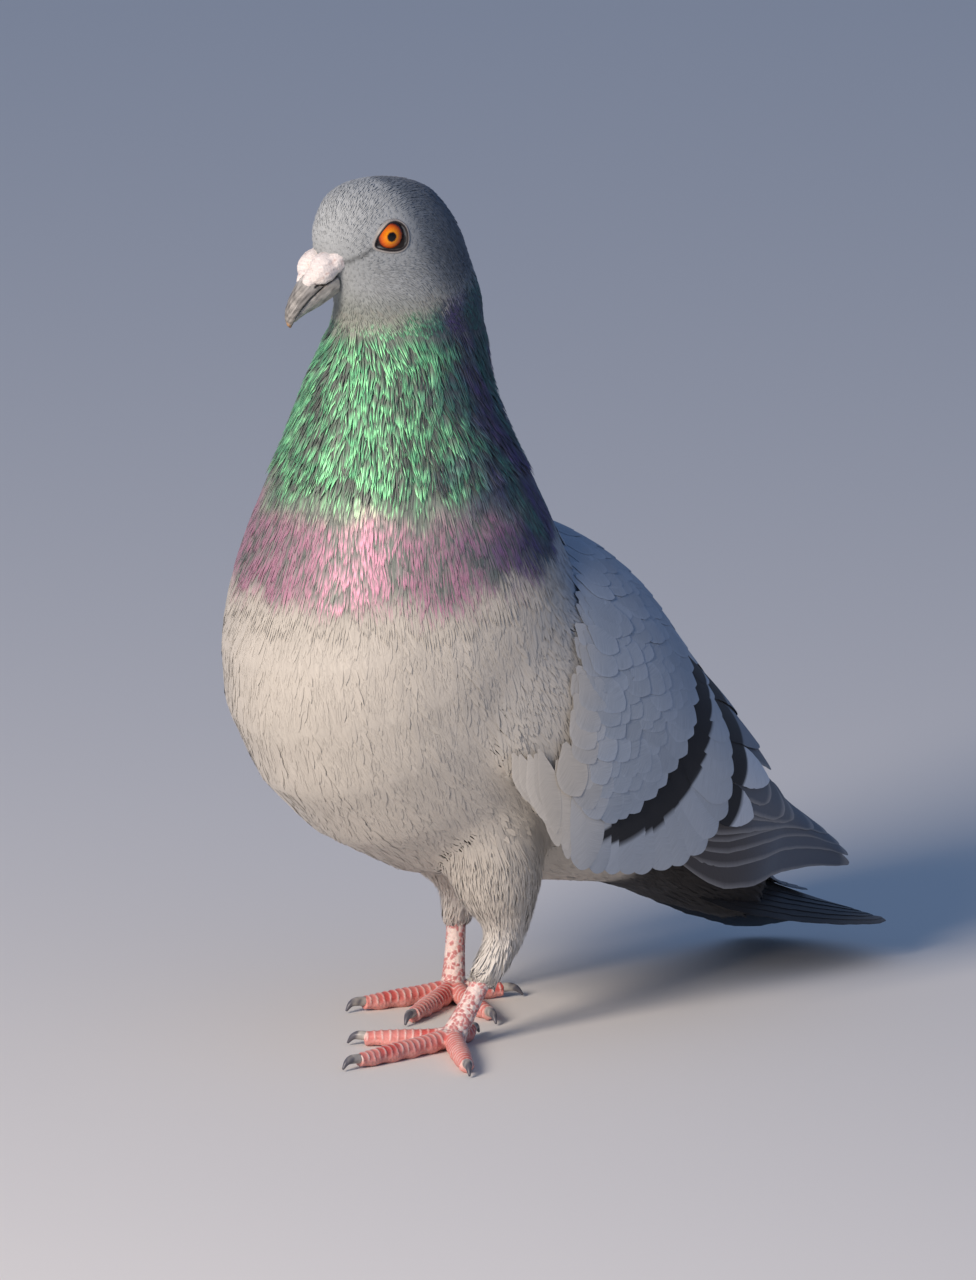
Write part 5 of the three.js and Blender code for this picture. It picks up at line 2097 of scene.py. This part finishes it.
@dataclass(frozen=True)
class Leg:
    """One leg's joints and toes."""

    side: Side
    foot: tuple[float, float]
    ankle: tuple[float, float, float]
    knee: tuple[float, float, float]
    toes: tuple[Toe, ...]

    @property
    def ball(self) -> Array:
        """The middle of the foot."""
        return np.array([*self.foot, TOE_LIFT])

    def nearest(self, points: Array) -> tuple[Array, Array]:
        """How far along the leg, from knee 0 over ankle 1 to foot 2, and how far off its axis."""
        joints = np.array([self.knee, self.ankle, self.ball])
        best, share_at = np.full(len(points), 1e9), np.zeros(len(points))
        for index in (0, 1):
            share, far = off_segment(points, joints[index], joints[index + 1])
            share_at = np.where(far < best, index + share, share_at)
            best = np.minimum(far, best)
        return share_at, best

    def downwards(self, share: Array) -> Array:
        """The leg's direction towards the foot at shares of its length."""
        first = unit(np.array(self.ankle) - np.array(self.knee))
        second = unit(self.ball - np.array(self.ankle))
        return unit(mixed(first, second, smoothstep(0.8, 1.2, share)))


TOE_LIFT = 2.3
TOE_RADIUS = 2.7
CLAW_RADII = (1.35, 1.25, 0.85, 0.3)
UP = np.array([0.0, 0.0, 1.0])
LEGS = (
    Leg(
        Side.LEFT, foot=(23, -59.73), ankle=(23, -39.73, 30), knee=(21, -44.73, 66),
        toes=(
            Toe("hallux", -155, 14.5, 5), Toe("inner", -50, 25.5, 3.8),
            Toe("middle", 2, 38.6, 4.2), Toe("outer", 54, 34, 4.8),
        ),
    ),
    Leg(
        Side.RIGHT, foot=(-23, -16.73), ankle=(-23, -14.73, 33), knee=(-19, -29.73, 66),
        toes=(
            Toe("hallux", 145, 15, 4.6), Toe("inner", 66, 32, 4.8),
            Toe("middle", 27, 34.5, 4.2), Toe("outer", -11, 31, 4.0),
        ),
    ),
)


def tube(bm: bmesh.types.BMesh, path: Array, radii: Array, rings: int, sides: int) -> None:
    """Adds a closed round tube by extruding a circle's face along a smooth path.

    Args:
        bm: Where the tube is added.
        path: Places that it passes through, in millimetres.
        radii: Its radius at each of them.
        rings: How many sections it has.
        sides: How many corners each section has.
    """
    share = np.linspace(0, 1, rings)
    middle = np.stack([smooth_values(path[:, column], share) for column in range(3)], axis=1)
    radius = smooth_values(radii, share)
    ahead = unit(np.gradient(middle, axis=0))
    across = unit(np.array([1.0, 0.1, 0.0]) - ahead * (ahead @ np.array([1.0, 0.1, 0.0]))[:, None])
    over = np.cross(ahead, across)
    turn = np.linspace(0, 2 * math.pi, sides, endpoint=False)[:, None]
    made = bmesh.ops.create_circle(bm, cap_ends=True, segments=sides, radius=1.0)
    face = made["verts"][0].link_faces[0]
    for ring in range(rings):
        if ring:
            face = bmesh.ops.extrude_discrete_faces(bm, faces=[face])["faces"][0]
        places = middle[ring] + radius[ring] * (np.cos(turn) * across[ring] + np.sin(turn) * over[ring])
        for loop, place in zip(face.loops, places):
            loop.vert.co = place * MM


@dataclass
class Foot:
    """A bare foot: shank and toes as one skin with scutes and a net of scales, and four claws."""

    leg: Leg
    scute: float = 2.15

    # How far along a toe, as a share, and how high, for its middle line.
    TOE_LINE = ((0.0, 0.9), (0.3, 0.3), (0.62, 0.1), (0.95, 0.0))

    def axes(self) -> list[tuple[Array, Array]]:
        """The path and radii of the shank and of each toe."""
        ball = self.leg.ball
        ankle = np.array(self.leg.ankle)
        start = ankle + (ball - ankle) * 0.1
        shank = np.array([start, ankle + (ball - ankle) * 0.6, ball + UP * 0.6])
        limbs = [(shank, np.array([2.75, 2.75, 3.5]))]
        for toe in self.leg.toes:
            ahead = toe.heading * toe.length
            path = [ball + ahead * share + UP * up for share, up in self.TOE_LINE]
            limbs.append((np.array(path), np.array([1.05, 1.0, 0.95, 0.72]) * TOE_RADIUS))
        return limbs

    def flesh(self) -> None:
        """Makes the scaled skin."""
        side = self.leg.side.label
        bm = bmesh.new()
        limbs = self.axes()
        for path, radii in limbs:
            tube(bm, path, radii, 14, 16)
        bmesh.ops.holes_fill(bm, edges=bm.edges)
        piece = remeshed(f"{side}_foot_skin", bm, 0.38 * MM, 5)
        points, triangles, normals = mesh_arrays(piece)
        random = np.random.default_rng(90 + self.leg.side.value)
        # The nearest limb, and how far along it, for every point.
        best = np.full(len(points), 1e9)
        limb, along = np.zeros(len(points), int), np.zeros(len(points))
        for index, (path, _) in enumerate(limbs):
            share, far = off_segment(points, path[0], path[-1])
            closer = far < best
            best = np.where(closer, far, best)
            limb = np.where(closer, index, limb)
            along = np.where(closer, share * np.linalg.norm(path[-1] - path[0]), along)
        on_toe = (limb > 0) & (along > 4.0)
        skewed = along + 0.35 * np.sin(normals[:, 0] * 3) + 0.15 * ripple(points, 5, 91)
        phase = (skewed / self.scute) % 1.0
        plate = smoothstep(-0.35, 0.25, normals[:, 2]) * on_toe
        pads = 0.25 * np.sin(along / 7.5 * 2 * math.pi) * (normals[:, 2] < 0.2) * on_toe
        ridge = 0.3 * np.exp(-(((phase - 0.12) / 0.13) ** 2)) - 0.12
        # Net of small scales where there are no plates.
        surface = Surface(points, triangles, normals, normals)
        seeds, _ = surface.scatter(lambda places: np.ones(len(places), bool), 0.95, 92)
        tree = search_tree(seeds)
        gap = np.zeros(len(points))
        for row, place in enumerate(points.tolist()):
            (_, _, first), (_, _, second) = tree.find_n(place, 2)
            gap[row] = second - first
        net = smoothstep(0.3, 0.06, gap + 0.12 * ripple(points, 1.1, 95))
        relief = plate * ridge + (1 - plate) * (0.1 - 0.2 * net) + pads
        points += normals * relief[:, None]
        points[:, 2] = np.maximum(points[:, 2], 0.0)
        move_points(piece, points)
        pink, red, pale = linear(BARE.scute), linear(BARE.scute_red), linear(BARE.scute_rim)
        blush = smoothstep(-0.6, 0.8, ripple(points, 9, 93))
        base = mixed(pink, red, blush)
        rims = np.exp(-(((phase - 0.12) / 0.11) ** 2)) * (0.75 + 0.3 * ripple(points, 2, 96))
        scuted = mixed(base, pale, rims)
        shank = limb == 0
        cells = random.random(len(seeds))
        nearest = np.array([tree.find(place)[1] for place in points.tolist()])
        blotch = np.where(cells[nearest] < 0.62, 0.95, 0.15)
        scales = mixed(linear(BARE.scale), linear(BARE.scale_dark), cells[nearest])
        netted = mixed(pale, scales, blotch * (1 - net))
        soles = mixed(linear(BARE.sole), linear(BARE.sole_net), net * 0.6)
        other = np.where((shank | (along < 4.0))[:, None], netted, soles)
        paint(piece, mixed(other, scuted, plate))
        lay_map(piece, VANE, points[:, :2] + points[:, 2:3])
        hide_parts(f"{side}_shank", *(f"{side}_toe_{toe.name}" for toe in self.leg.toes))
        finish = PaintedFinish("scaled_skin", 0.55, grain=0.6, strength=0.3, mottle=0.1, subsurface=0.12)
        ride_root(piece, finish.material(), "scaled_skin")

    def claws(self) -> None:
        """Makes the curved claws."""
        side = self.leg.side.label
        bm = bmesh.new()
        for toe in self.leg.toes:
            tip = self.leg.ball + toe.heading * toe.length
            marks = ((-2.2, 0.5), (0.2 * toe.claw, 0.7), (0.65 * toe.claw, 0.1), (toe.claw, 0.7 - TOE_LIFT))
            path = np.array([tip + toe.heading * ahead + UP * up for ahead, up in marks])
            tube(bm, path, np.array(CLAW_RADII), 18, 16)
        bmesh.ops.holes_fill(bm, edges=bm.edges)
        bmesh.ops.recalc_face_normals(bm, faces=bm.faces)
        piece = from_bmesh(f"{side}_claws", bm)
        points, _, _ = mesh_arrays(piece)
        reach = np.zeros(len(points))
        for toe in self.leg.toes:
            run = (points - self.leg.ball) @ toe.heading
            off = np.linalg.norm(points - self.leg.ball - run[:, None] * toe.heading, axis=1)
            reach = np.where((off < 4) & (run > 5), (run - toe.length) / toe.claw, reach)
        worn = smoothstep(-0.2, 0.7, reach + 0.3 * ripple(points, 2, 94))
        colour = mixed(linear(BARE.claw), linear(BARE.claw_worn), worn)
        paint(piece, colour)
        lay_map(piece, VANE, points[:, :2])
        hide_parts(*(f"{side}_claw_{toe.name}" for toe in self.leg.toes))
        ride_root(piece, PaintedFinish("claw_horn", 0.4, grain=0.8, strength=0.2).material(), "claw")

    def build(self) -> None:
        """Makes the foot."""
        self.flesh()
        self.claws()


# ---- The whole plumage ----
@dataclass
class Bird:
    """The head, neck, body and thighs: one skin, and the feathers that grow from it.

    Attributes:
        nodes: The CAD nodes by name.
        form: The form of the left wing.
        shell: The sheet that its feathers lie on.
        wings: Both wings, the left one first.
        voxel: The size of the skin's grain, in millimetres like every length here.
        wing_end: Where the skin's part of a wing is cut off, along the wing.
        trunk_end: Where its body is cut off, towards the tail.
        wing_reach: Where along a wing the wing's own feathers begin and end.
        wing_near: How near to the sheet a place on the wing is.
        bill_base: What the head's feathers point away from.
        bill_root: The place round which they are shorter, and how far out that starts.
        flesh: The nodes that the skin takes the place of.
    """

    nodes: dict[str, bpy.types.Object]
    form: WingForm
    shell: Shell
    wings: list[Wing]
    voxel: float = 1.16
    wing_end: float = 24.0
    trunk_end: float = 66.0
    wing_reach: tuple[float, float] = (-76.0, 68.0)
    wing_near: float = 4.0
    bill_base: tuple[float, float, float] = (0.0, -80.0, 222.0)
    bill_root: tuple[tuple[float, float, float], float] = ((0.0, -82.0, 220.0), 5.0)
    flesh: tuple[str, ...] = (
        "head", "neck", "trunk", "left_thigh", "right_thigh", "left_wing", "right_wing"
    )

    def on_wing(self, points: Array) -> tuple[Array, Array]:
        """Whether each point is on a wing, and its (along, down) there."""
        places = self.form.own(points)
        mirrored = np.stack([np.abs(points[:, 0]), points[:, 1], points[:, 2]], axis=1)
        sheet, normal = self.shell.at(places)
        off = ((mirrored - sheet) * normal).sum(axis=1)
        top, low = self.form.edges(places[:, 0])
        inside = (places[:, 1] > top - 1) & (places[:, 1] < low + 2)
        first, last = self.wing_reach
        along = places[:, 0]
        return inside & (np.abs(off) < self.wing_near) & (along > first) & (along < last), places

    def legs(self, points: Array) -> tuple[Array, Array, Array]:
        """How much each point is on a leg, its share of the leg's length, and which leg."""
        best, share, which = np.full(len(points), 1e9), np.zeros(len(points)), np.zeros(len(points), int)
        for index, leg in enumerate(LEGS):
            at, far = leg.nearest(points)
            which = np.where(far < best, index, which)
            share = np.where(far < best, at, share)
            best = np.minimum(far, best)
        reach = np.interp(share, [0, 0.6, 1, 1.5], [19, 14.5, 8, 6.5])
        on = smoothstep(0, -1.5, best - reach) * smoothstep(0.05, 0.3, share)
        return on, share, which

    def depth(self, points: Array) -> Array:
        """How deep the skin lies under the plumage's surface, in millimetres."""
        level, _ = SPINE.place(points)
        deep = np.interp(level, [0, 3, 7, 10, 12, 17], [0.8, 1.2, 1.1, 1.1, 0.6, 0.55])
        on, places = self.on_wing(points)
        return mixed(deep[:, None], np.array([0.5]), on * smoothstep(-58, -48, places[:, 0]))[:, 0]

    def make_skin(self) -> bpy.types.Object:
        """Makes the one skin under the plumage from the flesh nodes.

        Returns:
            The skin, painted with the plumage's markings.
        """
        point = Vector(self.form.world(np.array([0.0, self.wing_end, 87.0]))) * MM
        normal = Vector((0.0, math.cos(self.form.slope), -math.sin(self.form.slope)))
        cuts = {f"{side.label}_wing": (point, normal) for side in Side}
        cuts["trunk"] = (Vector((0.0, self.trunk_end * MM, 0.0)), Vector((0.0, 1.0, 0.0)))
        bm = merged_copy(self.nodes, self.flesh, 0.35 * MM, cuts)
        self.fill_sockets(bm)
        skin = remeshed("skin", bm, self.voxel * MM, 12)
        keep_largest(skin)
        points, _, normals = mesh_arrays(skin)
        points -= normals * self.depth(points)[:, None]
        move_points(skin, points)
        colour = MARKINGS.body(points)
        beyond, _ = EyeOpening.beyond(points)
        # Painted shade in the eye's opening, under the lid.
        colour = mixed(colour, linear(SOCKET_SHADE), smoothstep(0.4, -0.2, beyond))
        on, places = self.on_wing(points)
        under = self.wings[0].under_colour(places)
        paint(skin, mixed(colour, under, on * smoothstep(-58, -50, places[:, 0])))
        level, angle = SPINE.place(points)
        flat = np.stack([angle / (2 * math.pi) + 0.5, level / Level.TOP], axis=1)
        lay_map(skin, VANE, flat * 60)
        lay_map(skin, BAKE, inset(flat))
        points, triangles, normals = mesh_arrays(skin)
        shades = eased_normals(skin, normals, 36)
        skin.data.normals_split_custom_set_from_vertices(shades.astype(np.float32))
        self.surface = Surface(points, triangles, normals, shades)
        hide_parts(*self.flesh)
        return ride_root(skin, PlumageFinish().material(), "pale_feather")

    @staticmethod
    def fill_sockets(bm: bmesh.types.BMesh) -> None:
        """Closes each eye's socket with a low mound, so that the skin runs on under the lids."""
        bm.verts.index_update()
        faces = [[vertex.index for vertex in face.verts] for face in bm.faces]
        tree = BVHTree.FromPolygons([vertex.co / MM for vertex in bm.verts], faces)
        turns = np.linspace(0, 2 * math.pi, 32, endpoint=False)
        radii = np.linspace(0.3, 6.3, 9)
        for side in Side:
            sheet = EyeOpening.sheet(tree, side.value)
            rings = []
            for radius in radii:
                fu = headings(turns) * radius
                out = sheet(fu) - 0.1
                if radius < 3.8:
                    ball = EyeOpening.CENTRE[0] + math.sqrt(EyeOpening.BALL**2 - radius**2)
                    out = np.minimum(out, ball - 0.7)
                rings.append(EyeOpening.placed(side.value, out, fu))
            inner = np.full(len(fu), 4.0)
            rings += [EyeOpening.placed(side.value, inner, fu * share) for share in (1.0, 0.05)]
            loops = [[bm.verts.new(Vector(point) * MM) for point in ring] for ring in rings]
            for first, second in zip(loops, loops[1:] + loops[:1]):
                for k in range(len(turns)):
                    bm.faces.new((first[k], first[k - 1], second[k - 1], second[k]))

    def wing_hue(self, points: Array, strands: Array, along: Array) -> Array:
        """The colours of the soft feathers over the front of the wing."""
        # Pale at the wing's front, partly painted light.
        return self.wings[0].under_colour(self.form.own(points))

    def lie(self, points: Array, normals: Array) -> Array:
        """The direction that the feathers point: away from the bill, then down to the tail."""
        level, _ = SPINE.place(points)
        base = SPINE.turned(np.array([self.bill_base]))[0]
        away = points - base
        far = np.linalg.norm(away, axis=1)
        share = smoothstep(42, 16, far)[:, None] * (level > Level.HEAD - 1)[:, None]
        toward = unit(away) * share + SPINE.tailwards(level) * (1 - share)
        on, places = self.on_wing(points)
        over = self.wings[0].lie(places)
        over[:, 0] *= np.sign(points[:, 0])
        share = (on * smoothstep(-78, -62, places[:, 0]))[:, None]
        toward = toward * (1 - share) + over * share
        on, share, which = self.legs(points)
        down = np.stack([leg.downwards(share) for leg in LEGS])[which, np.arange(len(points))]
        toward = toward * (1 - on[:, None]) + (down + 0.12 * normals) * on[:, None]
        swirl = 0.09 * np.stack([ripple(points, 22, seed) for seed in (11, 12, 13)], axis=1)
        toward = toward + swirl
        return laid_flat(toward, normals)

    def coat(self) -> None:
        """Grows every tract of body feathers."""
        tracts = (
            Tract("head_coat", "slate_feather", self.on_head, spacing=1.1, length=3.3, width=1.9, barbs=5,
                  barb=0.42, lift=0.5, roll=8, softness=0.75, contrast=0.16, scale=self.face, seed=21),
            Tract("upper_neck_coat", "neck_feather", self.on_upper_neck, spacing=1.9, length=8.0, width=3.0,
                  barbs=8, barb=0.46, lift=1.2, roll=8, twist=10, softness=0.35, contrast=0.3, group=0.5,
                  spread=(0.7, 1.0, 0.9, 0.7), seed=22),
            Tract("lower_neck_coat", "neck_feather", self.on_lower_neck, spacing=2.0, length=9.5, width=3.6,
                  barbs=8, barb=0.52, lift=0.45, roll=5, twist=4, softness=0.85, contrast=0.16, group=0.3,
                  spread=(0.6, 0.9, 0.95, 0.95), seed=23),
            Tract("breast_coat", "pale_feather", self.on_breast, spacing=2.5, length=11.0, width=5.4, barbs=7,
                  barb=1.5, lift=0.14, roll=1, ragged=0.25, softness=1.0, ridge=0.05, yaw=3, blunt=0.5,
                  contrast=0.04, seed=24),
            Tract("belly_coat", "pale_feather", self.on_belly, spacing=2.7, length=11.0, width=5.6, barbs=8,
                  barb=1.2, lift=0.26, rise=0.08, roll=2, ragged=0.3, softness=1.0, ridge=0.08, blunt=0.2,
                  contrast=0.06, seed=25),
            Tract("back_coat", "pale_feather", self.on_back, spacing=3.2, length=12.0, width=6.5, barbs=8,
                  barb=1.4, lift=0.6, roll=3, softness=0.97, ridge=0.1, contrast=0.06, seed=26),
            Tract("shoulder_coat", "pale_feather", self.on_shoulder, spacing=2.5, length=11.0, width=5.4,
                  barbs=7, barb=1.5, lift=0.5, roll=1, yaw=3, ragged=0.3, blunt=0.4, softness=1.0,
                  ridge=0.05, contrast=0.04, hue=self.wing_hue, scale=self.thinning, seed=27),
            Tract("left_thigh_coat", "pale_feather", self.on_thigh(0), spacing=1.9, length=10.0, width=4.0,
                  barbs=9, barb=0.6, lift=0.7, rise=0.5, roll=5, softness=0.9, ridge=0.2, ragged=0.35,
                  contrast=0.08, seed=28),
            Tract("right_thigh_coat", "pale_feather", self.on_thigh(1), spacing=2.0, length=10.0, width=4.0,
                  barbs=9, barb=0.6, lift=0.7, rise=0.6, roll=5, softness=0.9, ridge=0.2, ragged=0.35,
                  contrast=0.08, seed=29),
            Tract("vent_coat", "tail_feather", self.on_vent, spacing=2.8, length=15.0, width=5.6, barbs=8,
                  barb=0.9, lift=0.9, rise=0.5, roll=6, softness=0.85, ragged=0.3, seed=30),
        )
        for tract in tracts:
            tract.grow(self.surface, self.lie)

    def face(self, points: Array) -> Array:
        """How long head feathers are for their place: shortest round the eyes and the bill."""
        straight = SPINE.turned(points, backwards=True)
        eye, _ = EyeOpening.beyond(points)
        root, radius = self.bill_root
        bill = np.linalg.norm(straight - root, axis=1) - radius
        return np.clip(np.minimum(eye / 6.0, bill / 12.0), 0.32, 1.0)

    def thinning(self, points: Array) -> Array:
        """How long the feathers over the wing's front are: shorter where the coverts begin."""
        places = self.form.own(points)
        front = np.maximum(smoothstep(0.4, 0.85, Wing.front(places)), smoothstep(-48, -53, places[:, 0]))
        return 0.6 + 0.4 * front

    def free(self, points: Array) -> Array:
        """Where the body's own feathers grow: not on wings or legs."""
        on, _ = self.on_wing(points)
        leg, _, _ = self.legs(points)
        return ~on & (leg < 0.5)

    def glossy(self, points: Array) -> Array:
        """Where the neck shines."""
        return MARKINGS.bib(points, np.full(len(points), 0.5)) > 0.2

    def on_head(self, points: Array) -> Array:
        """The head's feathers."""
        level, _ = SPINE.place(points)
        beyond, forward = EyeOpening.beyond(points)
        return (level > Level.HEAD) & (beyond > 0.75 + 0.6 * smoothstep(-1.5, 3.0, forward))

    def on_upper_neck(self, points: Array) -> Array:
        """The neck's green feathers."""
        level, _ = SPINE.place(points)
        return (level > Level.COLLAR) & (level <= Level.HEAD) & self.free(points)

    def on_lower_neck(self, points: Array) -> Array:
        """The feathers at the foot of the neck."""
        level, _ = SPINE.place(points)
        return (level > Level.BREAST) & (level <= Level.COLLAR) & self.glossy(points) & self.free(points)

    def on_breast(self, points: Array) -> Array:
        """The breast's feathers."""
        level, angle = SPINE.place(points)
        upper = (level > Level.BREAST) & (level <= Level.COLLAR) & ~self.glossy(points)
        lower = (level > Level.BELLY) & (level <= Level.BREAST) & (np.abs(angle) > FLANK)
        return (upper | lower) & self.free(points)

    def on_belly(self, points: Array) -> Array:
        """The belly's feathers."""
        level, angle = SPINE.place(points)
        return (level > Level.VENT) & (level <= Level.BELLY) & (np.abs(angle) > FLANK) & self.free(points)

    def on_vent(self, points: Array) -> Array:
        """The long dark feathers under the tail."""
        level, angle = SPINE.place(points)
        return (level <= Level.VENT) & (np.abs(angle) > FLANK) & (points[:, 1] < self.trunk_end - 2)

    def on_back(self, points: Array) -> Array:
        """The back's feathers."""
        level, angle = SPINE.place(points)
        return (points[:, 1] < 60) & (level <= Level.BREAST) & (np.abs(angle) <= FLANK) & self.free(points)

    def on_shoulder(self, points: Array) -> Array:
        """The soft feathers that cover the front of the folded wings."""
        on, places = self.on_wing(points)
        level, _ = SPINE.place(points)
        front = (Wing.front(places) > 0.4) | (places[:, 0] < -49)
        _, low = self.form.edges(places[:, 0])
        return on & front & (level < Level.COLLAR) & (places[:, 1] < low - 1.5)

    def on_thigh(self, index: int) -> Callable[[Array], Array]:
        """The feathers of one leg."""

        def covers(points: Array) -> Array:
            """Whether each point is on the leg's feathered part."""
            leg, share, which = self.legs(points)
            return (leg >= 0.5) & (which == index) & (share < 1.62)

        return covers


# ---- Studio ----
@dataclass(frozen=True)
class Lamp:
    """A soft square light: its direction in degrees, distance and size in metres, watts and colour."""

    name: str
    azimuth: float
    elevation: float
    distance: float
    size: float
    power: float
    colour: str


@dataclass
class Studio:
    """A plain pale floor, soft lights and the camera."""

    azimuth: float = 47.0
    elevation: float = 12.0
    distance: float = 12.0
    frame_height: float = 0.3556
    target: tuple[float, float, float] = (-0.0126, -0.0131, 0.1033)
    lamps: tuple[Lamp, ...] = (
        Lamp("key", 11, 24, 2.2, 0.7, 56, "#fff1e4"),
        Lamp("fill", 75, 35, 2.6, 1.6, 1.2, "#a9c8f4"),
    )
    sky: str = "#93b6ee"
    sky_strength: float = 0.4

    def heading(self, azimuth: float, elevation: float) -> Vector:
        """The direction from the bird to something seen at that azimuth and elevation."""
        a, e = math.radians(azimuth), math.radians(elevation)
        return Vector((math.sin(a) * math.cos(e), -math.cos(a) * math.cos(e), math.sin(e)))

    def aim(self, thing: bpy.types.Object, place: Vector, target: Vector) -> None:
        """Puts a light or camera at a place, facing a target, upright."""
        thing.location = place
        thing.rotation_euler = (target - place).to_track_quat("-Z", "Y").to_euler()
        bpy.context.scene.collection.objects.link(thing)

    def add_camera(self) -> None:
        """Adds the camera at the viewing angle and framing."""
        data = bpy.data.cameras.new("camera")
        data.sensor_fit = "VERTICAL"
        data.sensor_height = 36.0
        data.lens = 36.0 * self.distance / self.frame_height
        data.clip_end = 50.0
        camera = bpy.data.objects.new("camera", data)
        target = Vector(self.target)
        self.aim(camera, target + self.heading(self.azimuth, self.elevation) * self.distance, target)
        bpy.context.scene.camera = camera

    def add_light(self, lamp: Lamp) -> None:
        """Adds one soft square light."""
        data = bpy.data.lights.new(lamp.name, "AREA")
        data.shape = "SQUARE"
        data.size = lamp.size
        data.energy = lamp.power
        data.color = tuple(linear(lamp.colour))
        target = Vector((0.0, 0.0, 0.11))
        place = target + self.heading(lamp.azimuth, lamp.elevation) * lamp.distance
        self.aim(bpy.data.objects.new(lamp.name, data), place, target)

    def add_floor(self) -> None:
        """Adds the floor."""
        bm = bmesh.new()
        bmesh.ops.create_circle(bm, cap_ends=True, segments=64, radius=6.0)
        floor = from_bmesh("floor", bm)
        floor.data.materials.append(FloorFinish().material())

    def build(self) -> None:
        """Adds the floor, the lights and the camera."""
        self.add_floor()
        for lamp in self.lamps:
            self.add_light(lamp)
        world = bpy.data.worlds.new("world")
        world.use_nodes = True
        background = world.node_tree.nodes["Background"]
        background.inputs["Color"].default_value = opaque(self.sky)
        background.inputs["Strength"].default_value = self.sky_strength
        bpy.context.scene.world = world
        bpy.context.scene.view_settings.view_transform = "Standard"
        self.add_camera()


def main() -> None:
    """Builds the pigeon and its studio."""
    logging.basicConfig(level=logging.INFO)
    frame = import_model()
    Studio().build()
    form = WingForm()
    shell = form.shell()
    wings = [Wing(side, form, shell) for side in Side]
    bird = Bird(frame["nodes"], form, shell, wings)
    bird.make_skin()
    bird.coat()
    for wing in wings:
        wing.build()
    Tail().build()
    Mantle(frame["nodes"]).build()
    Head(frame["nodes"], bird.surface).build()
    for leg in LEGS:
        Foot(leg).build()


if __name__ == "__main__":
    main()
